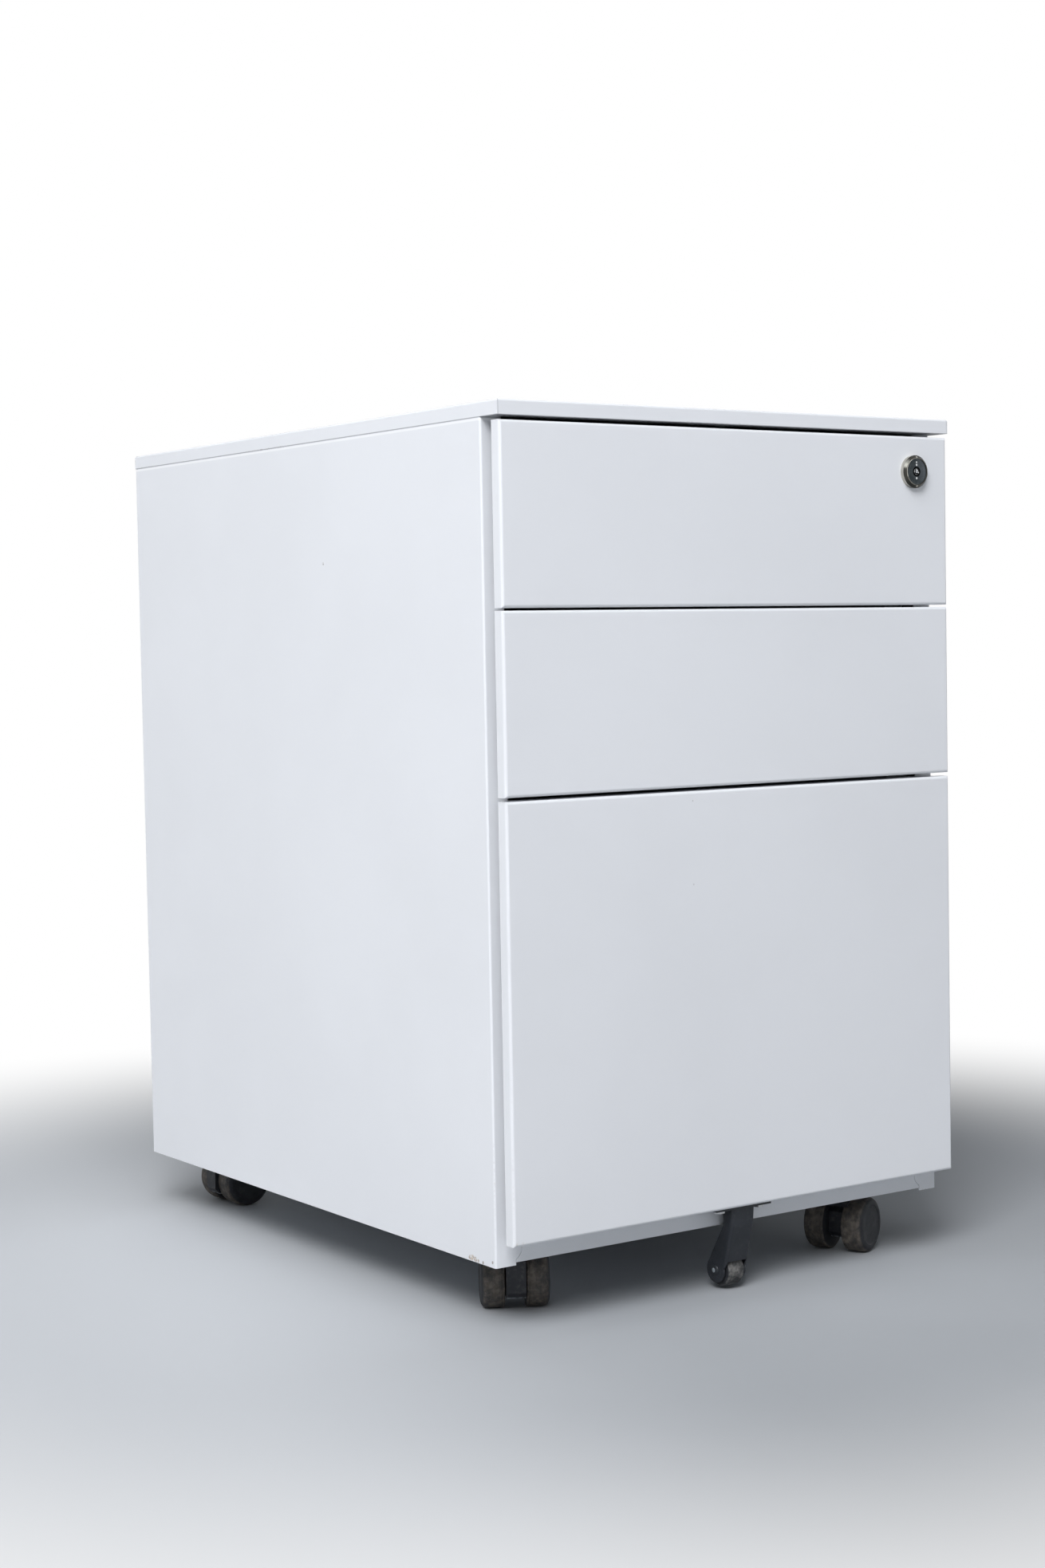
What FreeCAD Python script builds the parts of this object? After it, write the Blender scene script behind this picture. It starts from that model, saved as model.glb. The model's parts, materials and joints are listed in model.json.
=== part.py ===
import FreeCAD, Part
import os
import re
import Sketcher
from FreeCAD import Placement, Rotation, Vector

# A three-drawer mobile pedestal in folded sheet steel: two box drawers over a file drawer, a central
# lock in the top drawer front, four twin-wheel castors and an anti-tilt fork under the file drawer.
# Frame: millimetres, +X to the right, +Y to the back, +Z up, the floor at Z = 0, and the origin under
# the middle of the overall box. "Flange plane" is the front face of the body behind the drawer fronts.

SIZES = [
    ("sheet", "1.0", "thickness of the folded steel sheet"),
    ("body_width", "390", "width over the side panels"),
    ("body_depth", "497", "depth of the body behind the flange plane"),
    ("side_height", "550", "height of a side panel"),
    ("top_height", "10", "height of the folded top panel"),
    ("front_overhang", "19.5", "flange plane to the face of the drawer fronts"),
    ("flange_width", "16", "front flange of a side panel"),
    ("rear_flange_width", "15", "rear and top flanges of a side panel"),
    ("bend_radius", "1.5", "outer radius of a folded edge"),
    ("return_lip", "12", "inner lips of the top, back and rails"),
    ("rail_foot_gap", "1.8", "side panel edge to the lower edge of the bottom rail"),
    ("rail_height", "18.2", "height of the bottom rail"),
    ("rail_end_gap", "0.3", "gap between the bottom rail and each flange"),
    ("tab_radius", "7.3", "radius of the rounded tab at the foot of each front flange"),
    ("tab_side", "13.3", "side face of the body to the middle of that tab"),
    ("tab_rise", "11", "side panel edge to the middle of that tab"),
    ("top_rail_height", "12", "height of the top rail"),
    ("base_lip", "6", "height of the base panel's folded rim"),
    ("base_height", "9", "side panel edge to the upper face of the base panel"),
    ("upright_width", "30", "width of a slide upright"),
    ("upright_front", "30", "flange plane to the front upright"),
    ("upright_rear", "62", "back of the body to the rear upright"),
    ("upright_sheet", "1.2", "thickness of an upright"),
    ("front_side_gap", "1.5", "side of the body to the side of a drawer front"),
    ("front_edge_radius", "2.0", "rounded edge of a drawer front"),
    ("front_side_return", "9", "depth of a drawer front at its sides"),
    ("front_return", "16", "depth of a drawer front at its top and bottom"),
    ("front_hem", "6", "inward hem behind the side return, where the fingers pull"),
    ("top_drawer_gap", "2.9", "top panel to the top drawer front"),
    ("box_front_height", "119.3", "height of each of the two upper drawer fronts"),
    ("upper_gap", "1.7", "gap under the top drawer front"),
    ("lower_gap", "2.6", "gap under the middle drawer front"),
    ("file_front_rise", "17", "side panel edge to the file drawer front"),
    ("box_clearance", "6.2", "lower edge of a drawer front to the floor of its box"),
    ("lock_nut_gap", "4", "lock nut to the top of the top drawer box, which passes under it"),
    ("middle_box_drop", "23", "upper edge of the middle drawer front to the top of its box"),
    ("file_box_drop", "31", "upper edge of the file drawer front to the top of its box"),
    ("box_rear_gap", "42", "back of the body to the back of a drawer box"),
    ("box_corner_radius", "3", "outer corner radius of a drawer box"),
    ("box_hem", "8", "inward hem along the top of a drawer box's sides"),
    ("file_bar_height", "11", "height of a hanging-file bar"),
    ("file_bar_sheet", "2", "thickness of a hanging-file bar"),
    ("slide_thickness", "12.7", "thickness of a telescopic slide"),
    ("slide_rear_gap", "39", "back of the body to the rear end of the slides"),
    ("slide_bend", "1.0", "bevel of a slide member's rolled edges"),
    ("slide_front", "18", "flange plane to the front end of the slides"),
    ("slide_sheet", "1.2", "thickness of a slide member"),
    ("slide_play", "0.3", "gap between nested slide members"),
    ("box_slide_height", "35", "height of the box drawer slides"),
    ("file_slide_height", "45", "height of the file drawer slides"),
    ("box_slide_rise", "25", "lower edge of a drawer front to the middle of its slides"),
    ("file_slide_rise", "110", "the same on the file drawer"),
    ("slide_setback", "4", "how much shorter the moving slide members are"),
    ("catch_radius", "3", "radius of the catch stud on a drawer box"),
    ("catch_setback", "9.5", "flange plane to the catch studs"),
    ("catch_slide_gap", "18.5", "upper edge of a drawer's slides to its catch stud"),
    ("catch_tip_gap", "0.7", "tip of a catch stud to the opening between the flanges"),
    ("lock_side", "34", "side face of the body to the lock"),
    ("lock_drop", "25.1", "upper edge of the top drawer front to the lock"),
    ("lock_proud", "4.5", "how far the lock stands out of the drawer front"),
    ("lock_flange_radius", "11.6", "radius of the lock's flange"),
    ("lock_barrel_radius", "9.5", "radius of the lock's barrel"),
    ("lock_barrel_end", "4", "rear end of the barrel to the flange plane"),
    ("lock_chamfer", "1.6", "bevel round the lock's flange"),
    ("lock_head_radius", "9.2", "radius of the turning plug's face"),
    ("lock_head_height", "1.5", "thickness of the plug's head behind that face"),
    ("lock_plug_radius", "7.0", "radius of the plug behind its head"),
    ("lock_plug_play", "0.05", "radial play of the plug in the barrel"),
    ("lock_hole_play", "0.1", "radial play of the barrel in the drawer front"),
    ("lock_plug_recess", "0.5", "how far the plug's face sits behind the flange's face"),
    ("keyhole_radius", "3.5", "outer radius of the round keyhole"),
    ("keyhole_depth", "2", "depth of the round keyhole"),
    ("key_post_radius", "2.7", "radius of the post inside the keyhole"),
    ("key_post_dimple_radius", "0.9", "radius of the dimple in that post"),
    ("key_post_dimple_depth", "0.8", "depth of that dimple"),
    ("lock_nut_flats", "24", "width across the flats of the lock nut"),
    ("lock_nut_height", "3", "thickness of the lock nut"),
    ("cam_throw", "8", "lock axis to the cam's crank pin"),
    ("cam_angle", "45", "how far below level the crank points when unlocked, in degrees"),
    ("cam_sheet", "2", "thickness of the cam plate"),
    ("cam_hub_radius", "6", "radius of the cam plate round the plug"),
    ("cam_tip_radius", "4", "radius of the cam plate round its pin"),
    ("cam_pin_radius", "2", "radius of the crank pin"),
    ("cam_pin_overrun", "2", "how far the crank pin stands out behind the lock bar's arm"),
    ("cam_slot_play", "0.4", "play of the crank pin in the lock bar's slot"),
    ("lock_bar_sheet", "2", "thickness of the lock bar and its lugs"),
    ("lock_bar_width", "12", "front-to-back width of the lock bar"),
    ("lock_bar_side", "9", "side face of the body to the lock bar"),
    ("lock_bar_setback", "2.5", "flange plane to the lock bar"),
    ("lock_bar_foot", "28", "side panel edge to the foot of the lock bar"),
    ("lock_arm_height", "14", "height of the lock bar's arm at the cam"),
    ("lock_lug_height", "9", "height of a catch lug"),
    ("lock_lug_gap", "3", "catch lug to the catch stud when unlocked"),
    ("lock_lug_end_gap", "2", "end of a catch lug to the drawer box"),
    ("guide_height", "25", "height of a lock bar guide"),
    ("guide_wall", "1.2", "wall of a lock bar guide"),
    ("guide_play", "0.3", "play of the lock bar in its guides"),
    ("lower_guide_rise", "46", "side panel edge to the lower guide"),
    ("upper_guide_rise", "411", "side panel edge to the upper guide"),
    ("castor_side", "45", "side face of the body to a castor's swivel axis"),
    ("castor_front", "44", "flange plane to the front swivel axes"),
    ("castor_rear", "30", "back of the body to the rear swivel axes"),
    ("castor_height", "52", "floor to the top of a castor's plate"),
    ("castor_trail", "13.4", "swivel axis to the wheel axle"),
    ("wheel_radius", "20", "radius of a castor wheel"),
    ("wheel_width", "16", "width of a castor wheel"),
    ("wheel_gap", "14.6", "gap between the two wheels of a castor"),
    ("wheel_shoulder_width", "3.6", "width of the bevelled outer shoulder of a wheel"),
    ("wheel_shoulder_drop", "2.4", "how far that shoulder drops below the tread"),
    ("axle_radius", "2", "radius of a castor axle"),
    ("axle_play", "0.06", "radial play of a wheel on its axle"),
    ("axle_seat", "6", "outer face of a wheel to the end of the axle"),
    ("hood_play", "0.6", "gap between the hood and each wheel"),
    ("hood_foot", "9.5", "floor to the lower edge of the hood"),
    ("hood_back", "9", "swivel axis to the back of the hood"),
    ("hood_nose", "9", "axle to the front of the hood"),
    ("hood_roof_gap", "1", "tread to the hood's roof"),
    ("hood_roof", "1.6", "thickness of the hood's roof"),
    ("hood_roof_lap", "4", "how far the roof laps over each wheel"),
    ("hood_roof_rise", "15", "axle to the lower edges of the roof"),
    ("hood_neck", "7", "swivel axis to the front of the hood's top"),
    ("swivel_socket_foot", "30", "floor to the bottom of the hood's socket"),
    ("swivel_play", "0.05", "radial play of the castor screw in the hood's socket"),
    ("race_radius", "12", "radius of the swivel race under the plate"),
    ("race_height", "3.5", "height of the swivel race"),
    ("race_gap", "0.3", "gap between the race and the hood"),
    ("plate_radius", "17", "radius of a castor plate"),
    ("plate_sheet", "2", "thickness of a castor plate"),
    ("castor_screw_radius", "4", "radius of a castor screw's shank"),
    ("castor_screw_flats", "13", "width across the flats of a castor screw's head"),
    ("castor_screw_head", "5.3", "height of a castor screw's head"),
    ("castor_screw_tip_gap", "1", "tip of a castor screw to the bottom of its socket"),
    ("screw_radius", "2", "radius of a fork screw's shank"),
    ("screw_play", "0.1", "radial play of a screw in its hole"),
    ("screw_head_flats", "7", "width across the flats of a fork screw's head"),
    ("screw_head_height", "2", "height of a fork screw's head"),
    ("screw_tip", "1.5", "how far a fork screw stands out behind the sheet"),
    ("castor_angle_front_left", "59.8", "direction from swivel axis to axle, degrees from +X"),
    ("castor_angle_front_right", "204.7", "the same"),
    ("castor_angle_rear_left", "2.0", "the same"),
    ("castor_angle_rear_right", "235", "the same"),
    ("fork_width", "20", "width of the anti-tilt fork's arm"),
    ("fork_sheet", "1.8", "thickness of the fork"),
    ("fork_bend", "2.4", "outer radius of the fork's folded edges"),
    ("fork_plate_width", "48", "width of the fork's mounting plate"),
    ("fork_plate_depth", "12.5", "depth of the fork's mounting plate"),
    ("fork_setback", "3", "face of the drawer front to the fork"),
    ("fork_cheek_depth", "10.7", "depth of the arm's cheeks"),
    ("fork_knee_drop", "14", "lower edge of the drawer front to the arm's knee"),
    ("fork_web_end", "21", "floor to the lower end of the arm's web"),
    ("fork_web_shift", "8.5", "how far back the web ends from where it starts"),
    ("fork_axle_setback", "4", "flange plane to the fork wheel's axle"),
    ("fork_axle_height", "13.8", "floor to the fork wheel's axle"),
    ("fork_end_radius", "8.8", "rounded end of the cheeks"),
    ("fork_front_angle", "10", "where the arm's front edge meets that end, in degrees above level"),
    ("fork_rear_angle", "25", "the same for its rear edge"),
    ("fork_wheel_radius", "11.5", "radius of the fork wheel"),
    ("fork_wheel_width", "14", "width of the fork wheel"),
    ("fork_wheel_bevel", "1.2", "bevelled edge of the fork wheel"),
    ("fork_axle_radius", "2.5", "radius of the fork's rivet"),
    ("fork_rivet_head_radius", "3.8", "radius of the rivet's heads"),
    ("fork_rivet_head_height", "1.5", "height of the rivet's heads"),
]

# Places worked out from the sizes.
PLACES = [
    ("overall_depth", "lock_proud + front_overhang + body_depth"),
    ("flange_y", "lock_proud + front_overhang - overall_depth / 2"),
    ("back_y", "flange_y + body_depth"),
    ("front_y", "flange_y - front_overhang"),
    ("side_x", "body_width / 2"),
    ("inner_x", "side_x - sheet"),
    ("opening_x", "side_x - flange_width"),
    ("foot_z", "castor_height + sheet - base_height"),
    ("seam_z", "foot_z + side_height"),
    ("top_z", "seam_z + top_height"),
    ("base_z", "foot_z + base_height"),
    ("rail_z", "foot_z + rail_foot_gap"),
    ("front_x", "side_x - front_side_gap"),
    ("hem_x", "front_x - sheet - front_hem"),
    ("top_front_z", "seam_z - top_drawer_gap - box_front_height"),
    ("middle_front_z", "top_front_z - upper_gap - box_front_height"),
    ("file_front_z", "foot_z + file_front_rise"),
    ("file_front_height", "middle_front_z - lower_gap - file_front_z"),
    ("lock_z", "top_front_z + box_front_height - lock_drop"),
    ("nut_radius", "lock_nut_flats / 2 / cos(30 deg)"),
    ("top_box_height", "lock_z - nut_radius - lock_nut_gap - top_front_z - box_clearance"),
    ("middle_box_height", "box_front_height - middle_box_drop - box_clearance"),
    ("file_box_height", "file_front_height - file_box_drop - box_clearance"),
    ("box_x", "opening_x - slide_play - slide_thickness"),
    ("skin_y", "front_y + sheet"),
    ("box_back_y", "back_y - box_rear_gap"),
    ("slide_length", "body_depth - slide_front - slide_rear_gap"),
    ("slide_y", "flange_y + slide_front"),
    ("slide_x", "box_x + slide_thickness"),
    ("catch_y", "flange_y + catch_setback"),
    ("lock_x", "side_x - lock_side"),
    ("lock_face_y", "front_y - lock_proud"),
    ("barrel_end_y", "flange_y - lock_barrel_end"),
    ("cam_reach", "cam_throw * cos(cam_angle * 1 deg)"),
    ("cam_drop", "cam_throw * sin(cam_angle * 1 deg)"),
    ("cam_y", "barrel_end_y + sheet / 2"),
    ("pin_x", "lock_x + cam_reach"),
    ("pin_z", "lock_z - cam_drop"),
    ("bar_x", "side_x - lock_bar_side"),
    ("bar_y", "flange_y + lock_bar_setback"),
    ("lug_y", "bar_y + (catch_setback - lock_bar_setback - catch_radius - lock_bar_sheet) / 2"),
    ("bar_foot_z", "foot_z + lock_bar_foot"),
    ("castor_x", "side_x - castor_side"),
    ("hood_half", "wheel_gap / 2 - hood_play"),
    ("axle_z", "wheel_radius"),
    ("plate_z", "castor_height - plate_sheet"),
    ("race_z", "plate_z - race_height"),
    ("hood_top_z", "race_z - race_gap"),
    ("fork_y", "front_y + fork_setback"),
    ("fork_x", "fork_width / 2"),
    ("fork_screw_x", "(fork_plate_width / 2 + fork_x) / 2"),
    ("fork_screw_y", "fork_y + fork_plate_depth / 2"),
    ("fork_top_z", "file_front_z"),
    ("fork_axle_y", "flange_y + fork_axle_setback"),
    ("fork_knee_shift", "fork_web_shift * fork_knee_drop / (fork_top_z - fork_web_end) / 2"),
]

# Each drawer: the lower edge and height of its front, the height of its box, and the rise and height
# of its slides.
DRAWERS = {
    "top": ("top_front_z", "box_front_height", "top_box_height", "box_slide_rise", "box_slide_height"),
    "middle": ("middle_front_z", "box_front_height", "middle_box_height", "box_slide_rise",
               "box_slide_height"),
    "file": ("file_front_z", "file_front_height", "file_box_height", "file_slide_rise",
             "file_slide_height"),
}

HANDS = (("left", -1), ("right", 1))
FORK_SCREWS = ("-fork_screw_x", "fork_screw_x")

doc = FreeCAD.newDocument("mobile_pedestal")
size_sheet = doc.addObject("Spreadsheet::Sheet", "Sizes")
place_sheet = doc.addObject("Spreadsheet::Sheet", "Places")
SIZE_NAMES = {alias for alias, _, _ in SIZES}
PLACE_NAMES = {alias for alias, _ in PLACES}


def bound(text):
    """Turn an expression in plain aliases into one that FreeCAD reads from the two sheets."""
    def full_name(match):
        word = match.group(0)
        if word in SIZE_NAMES:
            return "Sizes." + word
        return "Places." + word if word in PLACE_NAMES else word
    return re.sub(r"[A-Za-z_]\w*", full_name, text)


def fill_sheets():
    """Write the driving sizes as plain numbers and the places as formulas."""
    for row, (alias, number, note) in enumerate(SIZES, start=1):
        size_sheet.set(f"A{row}", note)
        size_sheet.set(f"B{row}", number)
        size_sheet.setAlias(f"B{row}", alias)
    doc.recompute()
    for row, (alias, formula) in enumerate(PLACES, start=1):
        place_sheet.set(f"B{row}", "=" + bound(formula).replace("Places.", ""))
        place_sheet.setAlias(f"B{row}", alias)
        place_sheet.set(f"A{row}", alias)
    doc.recompute()


def value(text):
    """The present value of an expression, in millimetres or degrees."""
    result = size_sheet.evalExpression(bound(text))
    return float(getattr(result, "Value", result))


def minus(text):
    return f"-({text})"


def add(kind, name):
    thing = doc.addObject(kind, name)
    thing.Label = name
    return thing


def block(name, low, high):
    """A box between two corners, each given as three expressions."""
    box = add("Part::Box", name)
    for side, start, end, axis in zip(("Length", "Width", "Height"), low, high, "xyz"):
        box.setExpression(side, bound(f"({end}) - ({start})"))
        box.setExpression(f"Placement.Base.{axis}", bound(start))
    return box


SAME = 1e-4  # two measures nearer than this are the same
X, Y, Z = Vector(1, 0, 0), Vector(0, 1, 0), Vector(0, 0, 1)
AXES = {"x": Rotation(Y, 90), "y": Rotation(X, -90), "z": Rotation()}


def rod(name, axis, centre, radius, length):
    """A cylinder that runs along +axis from the centre of its near end."""
    cylinder = add("Part::Cylinder", name)
    cylinder.Placement = Placement(Vector(), AXES[axis])
    cylinder.setExpression("Radius", bound(radius))
    cylinder.setExpression("Height", bound(length))
    for place, direction in zip(centre, "xyz"):
        cylinder.setExpression(f"Placement.Base.{direction}", bound(place))
    return cylinder


def joined(name, pieces):
    """One node from several pieces: touching ones become one solid, the others stay apart."""
    whole = add("Part::MultiFuse", name)
    whole.Shapes = pieces
    whole.Refine = True
    return whole


def cut(name, base, tools):
    """A base piece with one or more tools taken away."""
    tool = tools[0] if len(tools) == 1 else joined(name + "_cuts", tools)
    result = add("Part::Cut", name)
    result.Base = base
    result.Tool = tool
    result.Refine = True
    return result


def new_body(name):
    return add("PartDesign::Body", name)


def sketch_on(body, name, plane, offset):
    """An empty sketch on one of the body's origin planes, moved along its normal by the offset."""
    sketch = body.newObject("Sketcher::SketchObject", name)
    origin_plane = next(item for item in body.Origin.OriginFeatures if item.Role == plane)
    sketch.AttachmentSupport = [(origin_plane, "")]
    sketch.MapMode = "FlatFace"
    sketch.setExpression("AttachmentOffset.Base.z", bound(offset))
    return sketch


def outline(body, name, plane, points, offset="0"):
    """A closed sketch of straight sides whose corners are pinned to expressions."""
    sketch = sketch_on(body, name, plane, offset)
    corners = [Vector(value(across), value(up), 0) for across, up in points]
    for start, end in zip(corners, corners[1:] + corners[:1]):
        sketch.addGeometry(Part.LineSegment(start, end))
    for side in range(len(points)):
        sketch.addConstraint(Sketcher.Constraint("Coincident", side, 2, (side + 1) % len(points), 1))
    for side, (across, up) in enumerate(points):
        for kind, text, size in (("DistanceX", across, corners[side].x), ("DistanceY", up, corners[side].y)):
            index = sketch.addConstraint(Sketcher.Constraint(kind, -1, 1, side, 1, size))
            sketch.setExpression(f"Constraints[{index}]", bound(text))
    return sketch


def disc(body, name, plane, centre, radius, offset="0"):
    """A circle whose centre and radius are pinned to expressions."""
    sketch = sketch_on(body, name, plane, offset)
    across, up = value(centre[0]), value(centre[1])
    sketch.addGeometry(Part.Circle(Vector(across, up, 0), Z, value(radius)))
    for rule, text in ((Sketcher.Constraint("DistanceX", -1, 1, 0, 3, across), centre[0]),
                       (Sketcher.Constraint("DistanceY", -1, 1, 0, 3, up), centre[1]),
                       (Sketcher.Constraint("Radius", 0, value(radius)), radius)):
        sketch.setExpression(f"Constraints[{sketch.addConstraint(rule)}]", bound(text))
    return sketch


def rectangle(low, high):
    """The four corners of an upright rectangle, from its low and high corners."""
    return [(low[0], low[1]), (high[0], low[1]), (high[0], high[1]), (low[0], high[1])]


def pad(body, sketch, name, length, backwards=False):
    feature = body.newObject("PartDesign::Pad", name)
    feature.Profile = sketch
    feature.setExpression("Length", bound(length))
    feature.Reversed = backwards
    body.Tip = feature
    return feature


def pocket(body, sketch, name, length, backwards=False):
    """Take a profile away, and make sure that it really took something."""
    doc.recompute()
    before = body.Shape.Volume
    feature = body.newObject("PartDesign::Pocket", name)
    feature.Profile = sketch
    feature.setExpression("Length", bound(length))
    feature.Reversed = backwards
    body.Tip = feature
    doc.recompute()
    if body.Shape.Volume > before - SAME:
        raise RuntimeError(f"{feature.Label} took nothing away")
    return feature


def round_edges(body, name, radius, wanted):
    """Round the edges of the body's last feature that the test picks."""
    doc.recompute()
    base = body.Tip
    names = [f"Edge{number}" for number, edge in enumerate(base.Shape.Edges, start=1) if wanted(edge)]
    if not names:
        raise RuntimeError(f"{name} found no edge")
    fillet = body.newObject("PartDesign::Fillet", name)
    fillet.Base = (base, names)
    fillet.setExpression("Radius", bound(radius))
    body.Tip = fillet
    return fillet


def runs_along(edge, direction):
    """True for a straight edge parallel to the direction."""
    if len(edge.Vertexes) < 2:
        return False
    way = edge.Vertexes[1].Point - edge.Vertexes[0].Point
    return way.Length > SAME and near(abs(way.dot(direction)), way.Length)


def near(first, second):
    return abs(first - second) < SAME


def revolved(body, name, points, plane="XZ_Plane"):
    """A full turn of a profile about its sketch's upright axis."""
    sketch = outline(body, name + "_profile", plane, points)
    turn = body.newObject("PartDesign::Revolution", name)
    turn.Profile = sketch
    turn.ReferenceAxis = (sketch, ["V_Axis"])
    turn.Angle = 360
    body.Tip = turn
    return turn


def set_place(thing, centre, turn=None):
    """Move a finished sub-part, turned about +Z by an expression in degrees where one is given."""
    thing.Placement = Placement(Vector(), Rotation(Z, 1))
    for place, direction in zip(centre, "xyz"):
        thing.setExpression(f"Placement.Base.{direction}", bound(place))
    thing.setExpression("Placement.Rotation.Angle", bound(f"({turn or '0'}) * 1 deg"))


# ---------------------------------------------------------------------------------------- the body

def side_panel(name, hand):
    """One folded side: front and rear flanges turned inwards, and a flange under the top panel."""
    body = new_body(name)
    outer, inner = f"{hand} * side_x", f"{hand} * inner_x"
    front_end = f"{hand} * opening_x"
    rear_end = f"{hand} * (side_x - rear_flange_width)"
    profile = outline(body, name + "_profile", "XY_Plane", [
        (front_end, "flange_y"), (outer, "flange_y"), (outer, "back_y"), (rear_end, "back_y"),
        (rear_end, "back_y - sheet"), (inner, "back_y - sheet"), (inner, "flange_y + sheet"),
        (front_end, "flange_y + sheet")], "foot_z")
    pad(body, profile, name + "_wall", "side_height")
    flange = outline(body, name + "_flange", "XY_Plane",
                     rectangle((rear_end, "flange_y + sheet"), (inner, "back_y - sheet")), "seam_z - sheet")
    pad(body, flange, name + "_top_flange", "sheet")
    tab = disc(body, name + "_tab_outline", "XZ_Plane",
               (f"{hand} * (side_x - tab_side)", "foot_z + tab_rise"), "tab_radius", minus("flange_y"))
    pad(body, tab, name + "_tab", "sheet", backwards=True)
    corner_x, front, back = value(outer), value("flange_y"), value("back_y")

    def is_corner(edge):
        return runs_along(edge, Z) and near(edge.BoundBox.XMin, corner_x) and (
            near(edge.BoundBox.YMin, front) or near(edge.BoundBox.YMin, back))
    round_edges(body, name + "_bends", "bend_radius", is_corner)
    return body


def top_panel():
    """A shallow folded pan over the body, flush with the drawer fronts, its lips turned in underneath."""
    body = new_body("top_panel")
    low, high = (minus("side_x"), "front_y"), ("side_x", "back_y")
    pad(body, outline(body, "top_outline", "XY_Plane", rectangle(low, high), "seam_z"), "top_block",
        "top_height")
    top = value("top_z")
    round_edges(body, "top_bends", "bend_radius", lambda edge: near(edge.BoundBox.ZMin, top))
    within = rectangle(("-side_x + sheet", "front_y + sheet"), ("side_x - sheet", "back_y - sheet"))
    hollow = outline(body, "top_hollow_outline", "XY_Plane", within, "seam_z + sheet")
    pocket(body, hollow, "top_hollow", "top_height - 2 * sheet", backwards=True)
    lip = "sheet + return_lip"
    mouth = rectangle((f"-side_x + {lip}", f"front_y + {lip}"), (f"side_x - ({lip})", f"back_y - ({lip})"))
    pocket(body, outline(body, "top_mouth_outline", "XY_Plane", mouth, "seam_z"), "top_mouth", "sheet",
           backwards=True)
    return body


def back_panel():
    """The back sheet between the rear flanges, with a lip under the top panel."""
    body = new_body("back_panel")
    face, rear, lip = "back_y - 2 * sheet", "back_y - sheet", "back_y - 2 * sheet - return_lip"
    profile = outline(body, "back_profile", "YZ_Plane", [
        (face, "base_z - base_lip"), (rear, "base_z - base_lip"), (rear, "seam_z - sheet"),
        (lip, "seam_z - sheet"), (lip, "seam_z - 2 * sheet"), (face, "seam_z - 2 * sheet")],
        minus("inner_x"))
    pad(body, profile, "back_sheet", "2 * inner_x")
    return body


def castor_places():
    """The four swivel axes, each with its name and its rest angle."""
    for end, along in (("front", "flange_y + castor_front"), ("rear", "back_y - castor_rear")):
        for hand, side in (("left", "-castor_x"), ("right", "castor_x")):
            yield f"{end}_{hand}", side, along, f"castor_angle_{end}_{hand}"


def base_panel():
    """The floor of the body: a tray with its rim turned down, drilled for the castors."""
    low = (minus("inner_x"), "flange_y + sheet")
    high = ("inner_x", "back_y - 2 * sheet")
    tray = new_body("base_tray")
    pad(tray, outline(tray, "base_outline", "XY_Plane", rectangle(low, high), "base_z - base_lip"),
        "base_block", "base_lip")
    within = rectangle((f"{low[0]} + sheet", f"{low[1]} + sheet"),
                       (f"{high[0]} - sheet", f"{high[1]} - sheet"))
    pocket(tray, outline(tray, "base_hollow_outline", "XY_Plane", within, "base_z - base_lip"), "base_hollow",
           "base_lip - sheet", backwards=True)
    drills = [rod(f"base_hole_{corner}", "z", (across, along, "base_z - base_lip"),
                  "castor_screw_radius + screw_play", "2 * base_lip")
              for corner, across, along, _ in castor_places()]
    return cut("base_panel", tray, drills)


def channel(name, low_z, height, half_width, front, open_lip):
    """A rail of channel section across the body, its face to the front."""
    body = new_body(name)
    back, top = f"{front} + {open_lip}", f"{low_z} + {height}"
    profile = outline(body, name + "_profile", "YZ_Plane", [
        (front, low_z), (back, low_z), (back, f"{low_z} + sheet"), (f"{front} + sheet", f"{low_z} + sheet"),
        (f"{front} + sheet", f"{top} - sheet"), (back, f"{top} - sheet"), (back, top), (front, top)],
        minus(half_width))
    pad(body, profile, name + "_section", f"2 * ({half_width})")
    return body


def bottom_rail():
    """The rail under the file drawer, let in between the front flanges."""
    body = channel("front_bottom_rail", "rail_z", "rail_height", "opening_x - rail_end_gap", "flange_y",
                   "return_lip")
    face, foot, head = value("flange_y"), value("rail_z"), value("rail_z + rail_height")

    def is_nose(edge):
        box = edge.BoundBox
        return runs_along(edge, X) and near(box.YMin, face) and (near(box.ZMin, foot) or near(box.ZMin, head))
    round_edges(body, "front_bottom_rail_bends", "sheet / 2", is_nose)
    for side, hand in HANDS:
        notch = disc(body, f"rail_notch_outline_{side}", "XZ_Plane",
                     (f"{hand} * (side_x - tab_side)", "foot_z + tab_rise"), "tab_radius + rail_end_gap",
                     minus("flange_y"))
        pocket(body, notch, f"rail_notch_{side}", "sheet")
    return body


def upright(name, hand, front):
    """A vertical channel that spaces the slides off a side panel."""
    body = new_body(name)
    inner, outer = f"{hand} * slide_x", f"{hand} * inner_x"
    web = f"{hand} * (slide_x + upright_sheet)"
    end = f"{front} + upright_width"
    front_lip, rear_lip = f"{front} + upright_sheet", f"{end} - upright_sheet"
    profile = outline(body, name + "_profile", "XY_Plane", [
        (inner, front), (outer, front), (outer, front_lip), (web, front_lip),
        (web, rear_lip), (outer, rear_lip), (outer, end), (inner, end)], "base_z")
    pad(body, profile, name + "_section", "seam_z - sheet - base_z")
    return body


# ------------------------------------------------------------------------------------- the drawers

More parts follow.
